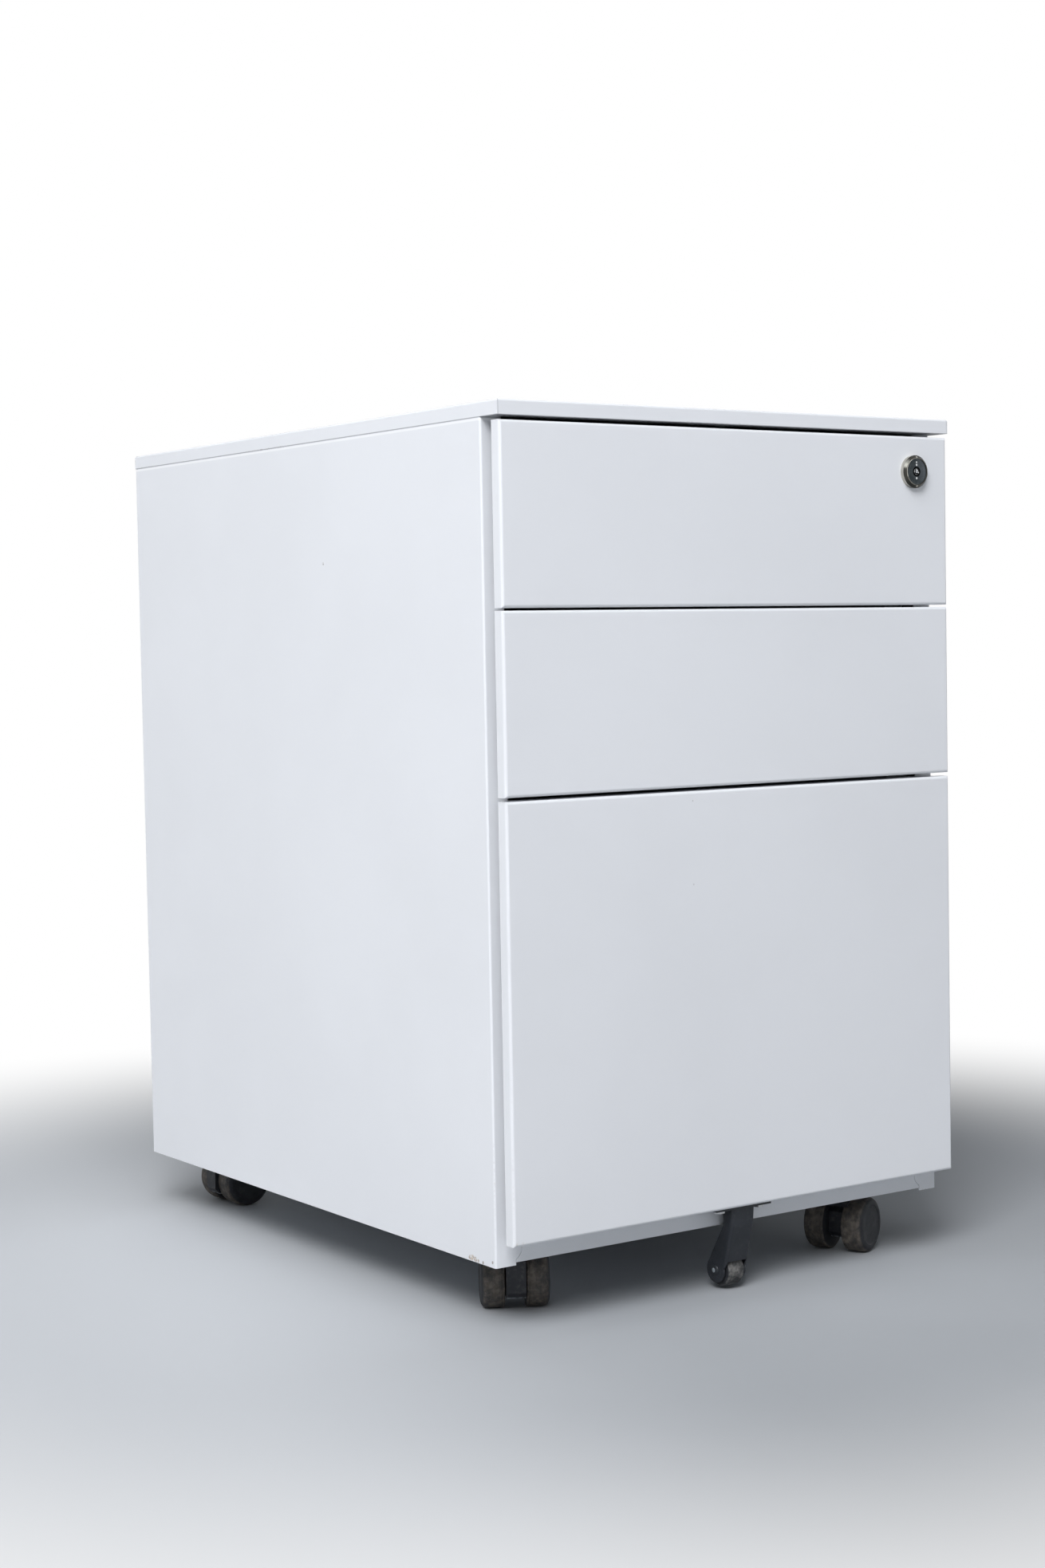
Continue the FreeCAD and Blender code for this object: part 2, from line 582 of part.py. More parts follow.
def drawer_front(which):
    """A folded pan: shallow sides with a hem to pull by, deeper returns at the top and bottom."""
    low_z, height = DRAWERS[which][:2]
    high_z = f"{low_z} + {height}"
    drilled = which != "middle"
    body = new_body(f"drawer_pan_{which}" if drilled else f"drawer_front_{which}")
    name = body.Name
    face = outline(body, name + "_face", "XZ_Plane",
                   rectangle((minus("front_x"), low_z), ("front_x", high_z)), minus("front_y"))
    pad(body, face, name + "_block", "front_side_return", backwards=True)
    front = value("front_y")
    round_edges(body, name + "_edges", "front_edge_radius", lambda edge: near(edge.BoundBox.YMax, front))
    back = outline(body, name + "_back", "XZ_Plane", rectangle((minus("hem_x"), low_z), ("hem_x", high_z)),
                   minus("front_y + front_side_return"))
    pad(body, back, name + "_returns", "front_return - front_side_return", backwards=True)
    hollow = rectangle((minus("front_x - sheet"), f"{low_z} + sheet"),
                       ("front_x - sheet", f"{high_z} - sheet"))
    pocket(body, outline(body, name + "_hollow_outline", "XZ_Plane", hollow, minus("skin_y")),
           name + "_hollow", "front_side_return - 2 * sheet")
    mouth = rectangle((minus("hem_x"), f"{low_z} + sheet"), ("hem_x", f"{high_z} - sheet"))
    start = "front_y + front_side_return - sheet"
    pocket(body, outline(body, name + "_mouth_outline", "XZ_Plane", mouth, minus(start)), name + "_mouth",
           "front_return - front_side_return + sheet")
    if which == "top":
        hole = rod("lock_hole", "y", ("lock_x", "front_y - sheet", "lock_z"),
                   "lock_barrel_radius + lock_hole_play", "3 * sheet")
        return cut("drawer_front_top", body, [hole])
    if which == "file":
        holes = [rod(f"fork_hole_{number}", "z", (across, "fork_screw_y", "file_front_z - sheet"),
                     "screw_radius + screw_play", "3 * sheet")
                 for number, across in enumerate(FORK_SCREWS)]
        return cut("drawer_front_file", body, holes)
    return body


def drawer_box(which):
    """A folded tray behind the front, its sides hemmed inwards along the top."""
    low_z, _, height = DRAWERS[which][:3]
    body = new_body(f"drawer_box_{which}")
    name = body.Name
    floor_z, top_z = f"{low_z} + box_clearance", f"{low_z} + box_clearance + {height}"
    shape = outline(body, name + "_outline", "XY_Plane",
                    rectangle((minus("box_x"), "skin_y"), ("box_x", "box_back_y")), floor_z)
    pad(body, shape, name + "_block", height)
    round_edges(body, name + "_corners", "box_corner_radius", lambda edge: runs_along(edge, Z))
    within = rectangle((minus("box_x - sheet"), "skin_y + sheet"), ("box_x - sheet", "box_back_y - sheet"))
    pocket(body, outline(body, name + "_hollow_outline", "XY_Plane", within, f"{floor_z} + sheet"),
           name + "_hollow", f"{height} - 2 * sheet", backwards=True)
    hem = "box_x - sheet - box_hem"
    mouth = rectangle((minus(hem), "skin_y + sheet"), (hem, "box_back_y - sheet"))
    pocket(body, outline(body, name + "_mouth_outline", "XY_Plane", mouth, f"{top_z} - sheet"),
           name + "_mouth", "sheet", backwards=True)
    return body


def file_bar(name, hand):
    """A bar that stands on the file drawer's hem, on which hanging files hook."""
    top = "file_front_z + box_clearance + file_box_height"
    outer = f"{hand} * box_x"
    inner = f"{hand} * (box_x - file_bar_sheet)"
    sides = (inner, outer) if hand > 0 else (outer, inner)
    return block(name, (sides[0], "skin_y + 3 * sheet", top),
                 (sides[1], "box_back_y - 3 * sheet", f"{top} + file_bar_height"))


def slide_member(name, hand, which, opens, web_x, reach, half_height, start, length):
    """One rolled member of a telescopic slide: a web with two flanges, drawn round its centre line.

    The web lies between the two given distances from the middle plane, and its flanges reach to a third.
    """
    low_z, _, _, rise, _ = DRAWERS[which]
    middle, half = f"{low_z} + {rise}", f"({half_height})"
    foot, head = f"{middle} - {half}", f"{middle} + {half}"
    web, back, tip = f"{hand} * ({web_x[0]})", f"{hand} * ({web_x[1]})", f"{hand} * ({reach})"
    bevel = f"{back} + {hand * opens} * slide_bend"
    body = new_body(name)
    profile = outline(body, name + "_profile", "XZ_Plane", [
        (back, f"{foot} + slide_bend"), (back, f"{head} - slide_bend"), (bevel, head), (tip, head),
        (tip, f"{head} - slide_sheet"), (web, f"{head} - slide_sheet"), (web, f"{foot} + slide_sheet"),
        (tip, f"{foot} + slide_sheet"), (tip, foot), (bevel, foot)], minus(start))
    pad(body, profile, name + "_section", length, backwards=True)
    return body


def slide_pair(which):
    """The cabinet, middle and drawer members of one drawer's two slides, nested with a little play.

    The first two open towards the drawer box (-1), and the drawer's own member away from it (1).
    """
    height = DRAWERS[which][4]
    moving = ("slide_y + slide_setback / 2", "slide_length - slide_setback")
    members = {
        "outer": (-1, ("slide_x - slide_sheet", "slide_x"), "box_x + 2 * slide_sheet + slide_play",
                  f"{height} / 2", "slide_y", "slide_length"),
        "middle": (-1, ("slide_x - 2 * slide_sheet - slide_play", "slide_x - slide_sheet - slide_play"),
                   "box_x + slide_sheet + 2 * slide_play",
                   f"{height} / 2 - slide_sheet - slide_play", *moving),
        "inner": (1, ("box_x + slide_sheet", "box_x"), "slide_x - 2 * slide_sheet - 2 * slide_play",
                  f"{height} / 2 - 2 * slide_sheet - 2 * slide_play", *moving),
    }
    for member, shape in members.items():
        pair = [slide_member(f"slide_{member}_{which}_{side}", hand, which, *shape) for side, hand in HANDS]
        joined(f"slide_{member}_{which}", pair)


def catch_z(which):
    """The height of a drawer's catch stud, above its slides."""
    low_z, _, _, rise, height = DRAWERS[which]
    return f"{low_z} + {rise} + {height} / 2 + catch_slide_gap"


def catch_stud(which):
    """The headed stud on a drawer box's side that the lock bar's lug stands in front of."""
    length = "opening_x - catch_tip_gap - box_x"
    return rod(f"catch_stud_{which}", "x", ("box_x", "catch_y", catch_z(which)), "catch_radius", length)


# ------------------------------------------------------------------------------------ the lock

def lock_barrel():
    """The fixed housing: a bevelled flange, bored out for the plug's head, on a round barrel."""
    body = new_body("lock_barrel")
    flange, barrel = "lock_flange_radius", "lock_barrel_radius"
    length = "barrel_end_y - lock_face_y"
    bore, seat = "lock_plug_radius + lock_plug_play", "lock_head_radius + lock_plug_play"
    step = "lock_plug_recess + lock_head_height + lock_plug_play"
    revolved(body, "lock_barrel_turn", [
        (seat, "0"), (f"{flange} - lock_chamfer", "0"), (flange, "lock_chamfer"), (flange, "lock_proud"),
        (barrel, "lock_proud"), (barrel, length), (bore, length), (bore, step), (seat, step)])
    place_lock(body)
    return body


def place_lock(body):
    """Turn a piece drawn along +Z from the lock's face so that it runs along +Y into the drawer."""
    body.Placement = Placement(Vector(), Rotation(X, -90))
    for place, direction in zip(("lock_x", "lock_face_y", "lock_z"), "xyz"):
        body.setExpression(f"Placement.Base.{direction}", bound(place))


def lock_plug():
    """The turning plug: a face with a round keyhole about a dimpled post, and a shaft through the barrel."""
    body = new_body("lock_plug")
    length = "cam_y - lock_face_y"
    face, step = "lock_plug_recess", "lock_plug_recess + lock_head_height"
    floor, dimple = "lock_plug_recess + keyhole_depth", "lock_plug_recess + key_post_dimple_depth"
    revolved(body, "lock_plug_turn", [
        ("0", dimple), ("key_post_dimple_radius", dimple), ("key_post_dimple_radius", face),
        ("key_post_radius", face), ("key_post_radius", floor), ("keyhole_radius", floor),
        ("keyhole_radius", face), ("lock_head_radius", face), ("lock_head_radius", step),
        ("lock_plug_radius", step), ("lock_plug_radius", length), ("0", length)])
    place_lock(body)
    return body


def hexagon(body, name, plane, flats, offset):
    """The outline of a hexagon round the sketch's origin."""
    radius = f"({flats}) / 2 / cos(30 deg)"
    corners = [(f"{radius} * cos({60 * step} deg)", f"{radius} * sin({60 * step} deg)") for step in range(6)]
    return outline(body, name, plane, corners, offset)


def lock_nut():
    """The hexagon nut that clamps the barrel to the drawer front."""
    body = new_body("lock_nut_blank")
    pad(body, hexagon(body, "lock_nut_outline", "XY_Plane", "lock_nut_flats", "lock_proud + sheet"),
        "lock_nut_block", "lock_nut_height")
    place_lock(body)
    hole = rod("lock_nut_hole", "y", ("lock_x", "front_y", "lock_z"), "lock_barrel_radius", "front_overhang")
    return cut("lock_nut", body, [hole])


def lock_cam():
    """The crank on the back of the plug: a link plate with a pin that lifts the lock bar."""
    hub = rod("cam_hub", "y", ("lock_x", "cam_y", "lock_z"), "cam_hub_radius", "cam_sheet")
    tip = rod("cam_tip", "y", ("pin_x", "cam_y", "pin_z"), "cam_tip_radius", "cam_sheet")
    pin = rod("cam_pin", "y", ("pin_x", "cam_y", "pin_z"), "cam_pin_radius",
              "lug_y + lock_bar_sheet + cam_pin_overrun - cam_y")
    link = new_body("cam_link")
    corners = []
    for centre_x, centre_z, half, sides in (("lock_x", "lock_z", "cam_hub_radius", "+-"),
                                            ("pin_x", "pin_z", "cam_tip_radius", "-+")):
        for sign in sides:
            corners.append((f"{centre_x} {sign} {half} * sin(cam_angle * 1 deg)",
                            f"{centre_z} {sign} {half} * cos(cam_angle * 1 deg)"))
    pad(link, outline(link, "cam_link_outline", "XZ_Plane", corners, minus("cam_y")), "cam_link_plate",
        "cam_sheet", backwards=True)
    return joined("lock_cam", [hub, tip, pin, link])


def lug_low(which):
    """The lower edge of a drawer's catch lug with the lock open."""
    return f"{catch_z(which)} - catch_radius - lock_lug_gap - lock_lug_height"


def lock_bar():
    """The vertical bar behind the right flange, with an arm for the cam and a lug for each drawer."""
    arm_low, arm_top = "pin_z - lock_arm_height / 2", "pin_z + lock_arm_height / 2"
    back = "lug_y + lock_bar_sheet"
    strip = block("lock_bar_strip", ("bar_x - lock_bar_sheet", "bar_y", "bar_foot_z"),
                  ("bar_x", "bar_y + lock_bar_width", arm_top))
    arm = block("lock_bar_arm", ("pin_x - cam_tip_radius - lock_bar_sheet", "lug_y", arm_low),
                ("bar_x", back, arm_top))
    lugs = [block(f"lock_lug_{which}", ("box_x + lock_lug_end_gap", "lug_y", lug_low(which)),
                  ("bar_x", back, f"{lug_low(which)} + lock_lug_height")) for which in DRAWERS]
    blank = joined("lock_bar_blank", [strip, arm] + lugs)
    half = "(cam_pin_radius + cam_slot_play)"
    ends = ("pin_x", "lock_x + cam_throw")
    slot = block("cam_slot", (ends[0], "lug_y - lock_bar_sheet", f"pin_z - {half}"),
                 (ends[1], f"{back} + lock_bar_sheet", f"pin_z + {half}"))
    rounds = [rod(f"cam_slot_end_{number}", "y", (across, "lug_y - lock_bar_sheet", "pin_z"), half,
                  "3 * lock_bar_sheet") for number, across in enumerate(ends)]
    return cut("lock_bar", blank, [slot] + rounds)


def lock_bar_guides():
    """Two plastic guides on the side panel that the lock bar slides through."""
    rings = []
    for name, rise in (("lower", "lower_guide_rise"), ("upper", "upper_guide_rise")):
        low_z, high_z = f"foot_z + {rise}", f"foot_z + {rise} + guide_height"
        outer = block(f"{name}_guide_block",
                      ("bar_x - lock_bar_sheet - guide_play - guide_wall", "flange_y + sheet", low_z),
                      ("inner_x", "bar_y + lock_bar_width + guide_play + guide_wall", high_z))
        slot = block(f"{name}_guide_slot",
                     ("bar_x - lock_bar_sheet - guide_play", "bar_y - guide_play", f"{low_z} - guide_wall"),
                     ("bar_x + guide_play", "bar_y + lock_bar_width + guide_play",
                      f"{high_z} + guide_wall"))
        rings.append(cut(f"{name}_guide", outer, [slot]))
    return joined("lock_bar_guides", rings)


# ---------------------------------------------------------------------------------------- castors

def castor_hood(corner, across, along, angle):
    """The swivelling body between the two wheels: a web round the screw and axle, a roof over the treads."""
    web = new_body(f"hood_web_{corner}")
    nose, chamfer = "castor_trail + hood_nose", "hood_back / 2"
    pad(web, outline(web, f"hood_web_outline_{corner}", "XZ_Plane", [
        (minus("hood_back"), "hood_top_z"), (minus("hood_back"), f"hood_foot + {chamfer}"),
        (minus(chamfer), "hood_foot"), (f"{nose} - {chamfer}", "hood_foot"), (nose, f"hood_foot + {chamfer}"),
        (nose, "axle_z + hood_nose"), ("hood_neck", "hood_top_z")], "hood_half"),
        f"hood_web_pad_{corner}", "2 * hood_half", backwards=True)
    roof_radius = "(wheel_radius + hood_roof_gap)"
    half_roof = "(wheel_gap / 2 + hood_roof_lap)"
    shell = rod(f"hood_roof_shell_{corner}", "y", ("castor_trail", minus(half_roof), "axle_z"),
                f"{roof_radius} + hood_roof", f"2 * {half_roof}")
    hollow = rod(f"hood_roof_hollow_{corner}", "y", ("castor_trail", f"-{half_roof} - hood_roof", "axle_z"),
                 roof_radius, f"2 * ({half_roof} + hood_roof)")
    below = block(f"hood_roof_below_{corner}",
                  (f"castor_trail - 2 * {roof_radius}", f"-2 * {half_roof}", f"-2 * {roof_radius}"),
                  (f"castor_trail + 2 * {roof_radius}", f"2 * {half_roof}", "axle_z + hood_roof_rise"))
    roof = cut(f"hood_roof_{corner}", shell, [hollow, below])
    socket = rod(f"hood_socket_{corner}", "z", ("0", "0", "swivel_socket_foot"),
                 "castor_screw_radius + swivel_play", "castor_height - swivel_socket_foot")
    axle_hole = rod(f"hood_axle_hole_{corner}", "y", ("castor_trail", "-wheel_gap", "axle_z"), "axle_radius",
                    "2 * wheel_gap")
    blank = joined(f"hood_blank_{corner}", [web, roof])
    hood = cut(f"castor_hood_{corner}", blank, [socket, axle_hole])
    set_place(hood, (across, along, "0"), angle)
    return hood


def axle_place(across, along, angle):
    """The middle of a castor's axle, behind its swivel axis."""
    return (f"{across} + castor_trail * cos({angle} * 1 deg)",
            f"{along} + castor_trail * sin({angle} * 1 deg)", "axle_z")


def castor_axle(corner, across, along, angle):
    """The steel pin that the two wheels turn on."""
    half = "(wheel_gap / 2 + wheel_width - axle_seat)"
    body = new_body(f"castor_axle_{corner}")
    pad(body, disc(body, f"castor_axle_circle_{corner}", "XZ_Plane", ("0", "0"), "axle_radius", half),
        f"castor_axle_pin_{corner}", f"2 * {half}", backwards=True)
    set_place(body, axle_place(across, along, angle), angle)
    return body


def castor_wheel(corner, side, hand, across, along, angle):
    """One wheel: a tread with a bevelled outer shoulder, a closed outer face and a blind bore."""
    body = new_body(f"castor_wheel_{corner}_{side}")
    inner = "wheel_gap / 2"
    outer = f"{inner} + wheel_width"
    bore = "axle_radius + axle_play"
    seat = f"{outer} - axle_seat + axle_play"
    points = [
        (bore, inner), ("wheel_radius", inner), ("wheel_radius", f"{outer} - wheel_shoulder_width"),
        ("wheel_radius - wheel_shoulder_drop", outer), ("0", outer), ("0", seat), (bore, seat)]
    revolved(body, f"castor_wheel_turn_{corner}_{side}",
             [(radius, f"{hand} * ({along_axle})") for radius, along_axle in points], "XY_Plane")
    set_place(body, axle_place(across, along, angle), angle)
    return body


def castor_plates():
    """The four round plates under the base panel, each with its swivel race, drilled for the castor screw."""
    rings = []
    for corner, across, along, _ in castor_places():
        plate = rod(f"plate_disc_{corner}", "z", (across, along, "plate_z"), "plate_radius", "plate_sheet")
        race = rod(f"plate_race_{corner}", "z", (across, along, "race_z"), "race_radius", "race_height")
        hole = rod(f"plate_hole_{corner}", "z", (across, along, "hood_top_z"),
                   "castor_screw_radius + screw_play", "castor_height - hood_top_z + plate_sheet")
        rings.append(cut(f"plate_{corner}", joined(f"plate_blank_{corner}", [plate, race]), [hole]))
    return joined("castor_plates", rings)


def screw(name, across, along, seat_z, radius, flats, head, reach, hand):
    """A hexagon-headed screw: its head against the seat, its shank driven up (1) or down (-1) from there."""
    cap = new_body(f"{name}_head")
    pad(cap, hexagon(cap, f"{name}_head_outline", "XY_Plane", flats, "0"), f"{name}_head_pad", head,
        backwards=hand > 0)
    set_place(cap, (across, along, seat_z))
    low = f"{seat_z} - {head} / 2" if hand > 0 else f"{seat_z} - ({reach})"
    shank = rod(f"{name}_shank", "z", (across, along, low), radius, f"({reach}) + {head} / 2")
    return joined(name, [cap, shank])


def castor_screws():
    """The four screws from inside the body that hold the castors and on which the hoods swivel."""
    tip = "swivel_socket_foot + castor_screw_tip_gap"
    return joined("castor_screws", [
        screw(f"castor_screw_{corner}", across, along, "base_z", "castor_screw_radius", "castor_screw_flats",
              "castor_screw_head", f"base_z - ({tip})", -1)
        for corner, across, along, _ in castor_places()])


# ------------------------------------------------------------------------------- the anti-tilt fork

def fork_bracket():
    """A folded fork: a plate under the drawer front, a channel arm with a knee, and two cheeks."""
    knee_z = "fork_top_z - fork_knee_drop"
    cheek = "fork_y + fork_cheek_depth"
    arm = new_body("fork_arm")
    pad(arm, outline(arm, "fork_arm_outline", "YZ_Plane", [
        ("fork_y", "fork_top_z"), ("fork_y + fork_knee_shift", knee_z),
        ("fork_y + fork_web_shift", "fork_web_end"),
        ("fork_axle_y - fork_end_radius * cos(fork_front_angle * 1 deg)",
         "fork_axle_height + fork_end_radius * sin(fork_front_angle * 1 deg)"),
        ("fork_axle_y + fork_end_radius * cos(fork_rear_angle * 1 deg)",
         "fork_axle_height + fork_end_radius * sin(fork_rear_angle * 1 deg)"),
        (cheek, knee_z), (cheek, "fork_top_z")], minus("fork_x")), "fork_arm_pad", "fork_width")
    cheek_y, web_end_z = value(cheek), value("fork_web_end")

    def is_bend(edge):
        box = edge.BoundBox
        across = near(box.XLength, 0)
        return across and box.YMax < cheek_y - SAME and box.ZMin > web_end_z - SAME
    round_edges(arm, "fork_bends", "fork_bend", is_bend)
    end = rod("fork_end", "x", (minus("fork_x"), "fork_axle_y", "fork_axle_height"), "fork_end_radius",
              "fork_width")
    plate = block("fork_plate", (minus("fork_plate_width / 2"), "fork_y", "fork_top_z - fork_sheet"),
                  ("fork_plate_width / 2", "fork_y + fork_plate_depth", "fork_top_z"))
    room = new_body("fork_room")
    front, rear, roof = "fork_y + fork_sheet", "fork_y + 3 * fork_cheek_depth", "fork_top_z - fork_sheet"
    ahead = "fork_axle_y - 2 * fork_end_radius"
    pad(room, outline(room, "fork_room_outline", "YZ_Plane", [
        (front, roof), (f"{front} + fork_knee_shift", knee_z), (f"{front} + fork_web_shift", "fork_web_end"),
        (ahead, "fork_web_end"), (ahead, "0"), (rear, "0"), (rear, roof)],
        minus("fork_x - fork_sheet")), "fork_room_pad", "fork_width - 2 * fork_sheet")
    hole = rod("fork_axle_hole", "x", (minus("fork_width"), "fork_axle_y", "fork_axle_height"),
               "fork_axle_radius", "2 * fork_width")
    drills = [rod(f"fork_plate_hole_{number}", "z", (across, "fork_screw_y", "fork_top_z - 2 * fork_sheet"),
                  "screw_radius + screw_play", "3 * fork_sheet")
              for number, across in enumerate(FORK_SCREWS)]
    return cut("fork_bracket", joined("fork_blank", [arm, end, plate]), [room, hole] + drills)


def fork_wheel():
    """The small roller between the cheeks."""
    body = new_body("fork_wheel")
    half, bevel = "fork_wheel_width / 2", "fork_wheel_bevel"
    bore = "fork_axle_radius + axle_play"
    revolved(body, "fork_wheel_turn", [
        (bore, minus(half)), (f"fork_wheel_radius - {bevel}", minus(half)),
        ("fork_wheel_radius", f"-({half}) + {bevel}"), ("fork_wheel_radius", f"{half} - {bevel}"),
        (f"fork_wheel_radius - {bevel}", half), (bore, half)])
    body.Placement = Placement(Vector(), Rotation(Y, 90))
    body.setExpression("Placement.Base.y", bound("fork_axle_y"))
    body.setExpression("Placement.Base.z", bound("fork_axle_height"))
    return body


def fork_axle():
    """The rivet through the fork and its wheel."""
    body = new_body("fork_axle")
    head, end = "fork_x", "fork_x + fork_rivet_head_height"
    revolved(body, "fork_axle_turn", [
        ("0", minus(end)), ("fork_rivet_head_radius", minus(end)), ("fork_rivet_head_radius", minus(head)),
        ("fork_axle_radius", minus(head)), ("fork_axle_radius", head), ("fork_rivet_head_radius", head),
        ("fork_rivet_head_radius", end), ("0", end)])
    body.Placement = Placement(Vector(), Rotation(Y, 90))
    body.setExpression("Placement.Base.y", bound("fork_axle_y"))
    body.setExpression("Placement.Base.z", bound("fork_axle_height"))
    return body


def fork_screws():
    """The two screws that hold the fork under the file drawer's front."""
    return joined("fork_screws", [
        screw(f"fork_screw_{number}", across, "fork_screw_y", "fork_top_z - fork_sheet", "screw_radius",
              "screw_head_flats", "screw_head_height", "fork_sheet + sheet + screw_tip", 1)
        for number, across in enumerate(FORK_SCREWS)])


# ------------------------------------------------------------------------------------ build and write

def build():
    """Make every sub-part and return the names of the nodes."""
    fill_sheets()
    side_panel("side_panel_left", -1)
    side_panel("side_panel_right", 1)
    top_panel()
    back_panel()
    base_panel()
    bottom_rail()
    channel("front_top_rail", "seam_z - sheet - top_rail_height", "top_rail_height", "inner_x",
            "flange_y + sheet", "return_lip")
    nodes = ["side_panel_left", "side_panel_right", "top_panel", "back_panel", "base_panel",
             "front_bottom_rail", "front_top_rail"]
    uprights = {"front": "flange_y + upright_front", "rear": "back_y - upright_rear - upright_width"}
    for end, front in uprights.items():
        for side, hand in HANDS:
            nodes.append(upright(f"{end}_upright_{side}", hand, front).Label)
    for which in DRAWERS:
        drawer_front(which)
        drawer_box(which)
        slide_pair(which)
        catch_stud(which)
        nodes += [f"drawer_front_{which}", f"drawer_box_{which}", f"slide_outer_{which}",
                  f"slide_middle_{which}", f"slide_inner_{which}", f"catch_stud_{which}"]
    for side, hand in HANDS:
        nodes.append(file_bar(f"file_bar_{side}", hand).Label)
    for maker in (lock_barrel, lock_plug, lock_nut, lock_cam, lock_bar, lock_bar_guides, castor_plates,
                  castor_screws, fork_bracket, fork_wheel, fork_axle, fork_screws):
        nodes.append(maker().Label)
    for corner, across, along, angle in castor_places():
        nodes.append(castor_hood(corner, across, along, angle).Label)
        nodes.append(castor_axle(corner, across, along, angle).Label)
        for side, hand in (("left", 1), ("right", -1)):
            nodes.append(castor_wheel(corner, side, hand, across, along, angle).Label)
    doc.recompute()
    return nodes


def check(nodes):
    """Stop if anything failed to build."""
    for thing in doc.Objects:
        if "Invalid" in thing.State or "Error" in thing.State:
            raise RuntimeError(f"{thing.Label} failed: {thing.State}")
    for name in nodes:
        shape = doc.getObjectsByLabel(name)[0].Shape
        if shape.isNull() or not shape.isValid() or not shape.Solids:
            raise RuntimeError(f"{name} is not a valid solid")


def write(nodes):
    os.makedirs("parts", exist_ok=True)
    for name in nodes:
        doc.getObjectsByLabel(name)[0].Shape.exportStep(f"parts/{name}.step")


node_names = build()
check(node_names)
write(node_names)
print(len(node_names), "nodes written")
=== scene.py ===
import json
import math

import bmesh
import bpy
from mathutils import Matrix, Vector


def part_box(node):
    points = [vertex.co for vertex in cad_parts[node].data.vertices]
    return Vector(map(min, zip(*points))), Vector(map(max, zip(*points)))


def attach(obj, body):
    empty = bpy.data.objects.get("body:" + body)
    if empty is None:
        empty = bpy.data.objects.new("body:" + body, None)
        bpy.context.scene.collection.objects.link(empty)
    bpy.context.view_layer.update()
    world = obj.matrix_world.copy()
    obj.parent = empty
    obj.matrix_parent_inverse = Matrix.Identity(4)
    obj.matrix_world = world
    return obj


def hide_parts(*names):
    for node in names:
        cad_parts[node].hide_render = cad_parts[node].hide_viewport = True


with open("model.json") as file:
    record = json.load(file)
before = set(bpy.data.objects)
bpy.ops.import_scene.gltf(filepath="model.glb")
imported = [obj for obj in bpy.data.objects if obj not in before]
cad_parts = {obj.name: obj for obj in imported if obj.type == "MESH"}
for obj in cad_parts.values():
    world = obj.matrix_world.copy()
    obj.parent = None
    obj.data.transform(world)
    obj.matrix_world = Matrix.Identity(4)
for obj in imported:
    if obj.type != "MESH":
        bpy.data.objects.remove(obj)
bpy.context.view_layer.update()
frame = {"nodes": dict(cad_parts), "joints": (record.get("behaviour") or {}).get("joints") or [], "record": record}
NODES = frame["nodes"]
JOINTS = {joint["name"]: joint for joint in frame["joints"]}
BODY_OF = {node: body for body, held in frame["record"]["behaviour"]["bodies"].items() for node in held}
MILLI = 0.001
X, Y, Z = range(3)


# ---------------------------------------------------------------------------------- node helpers

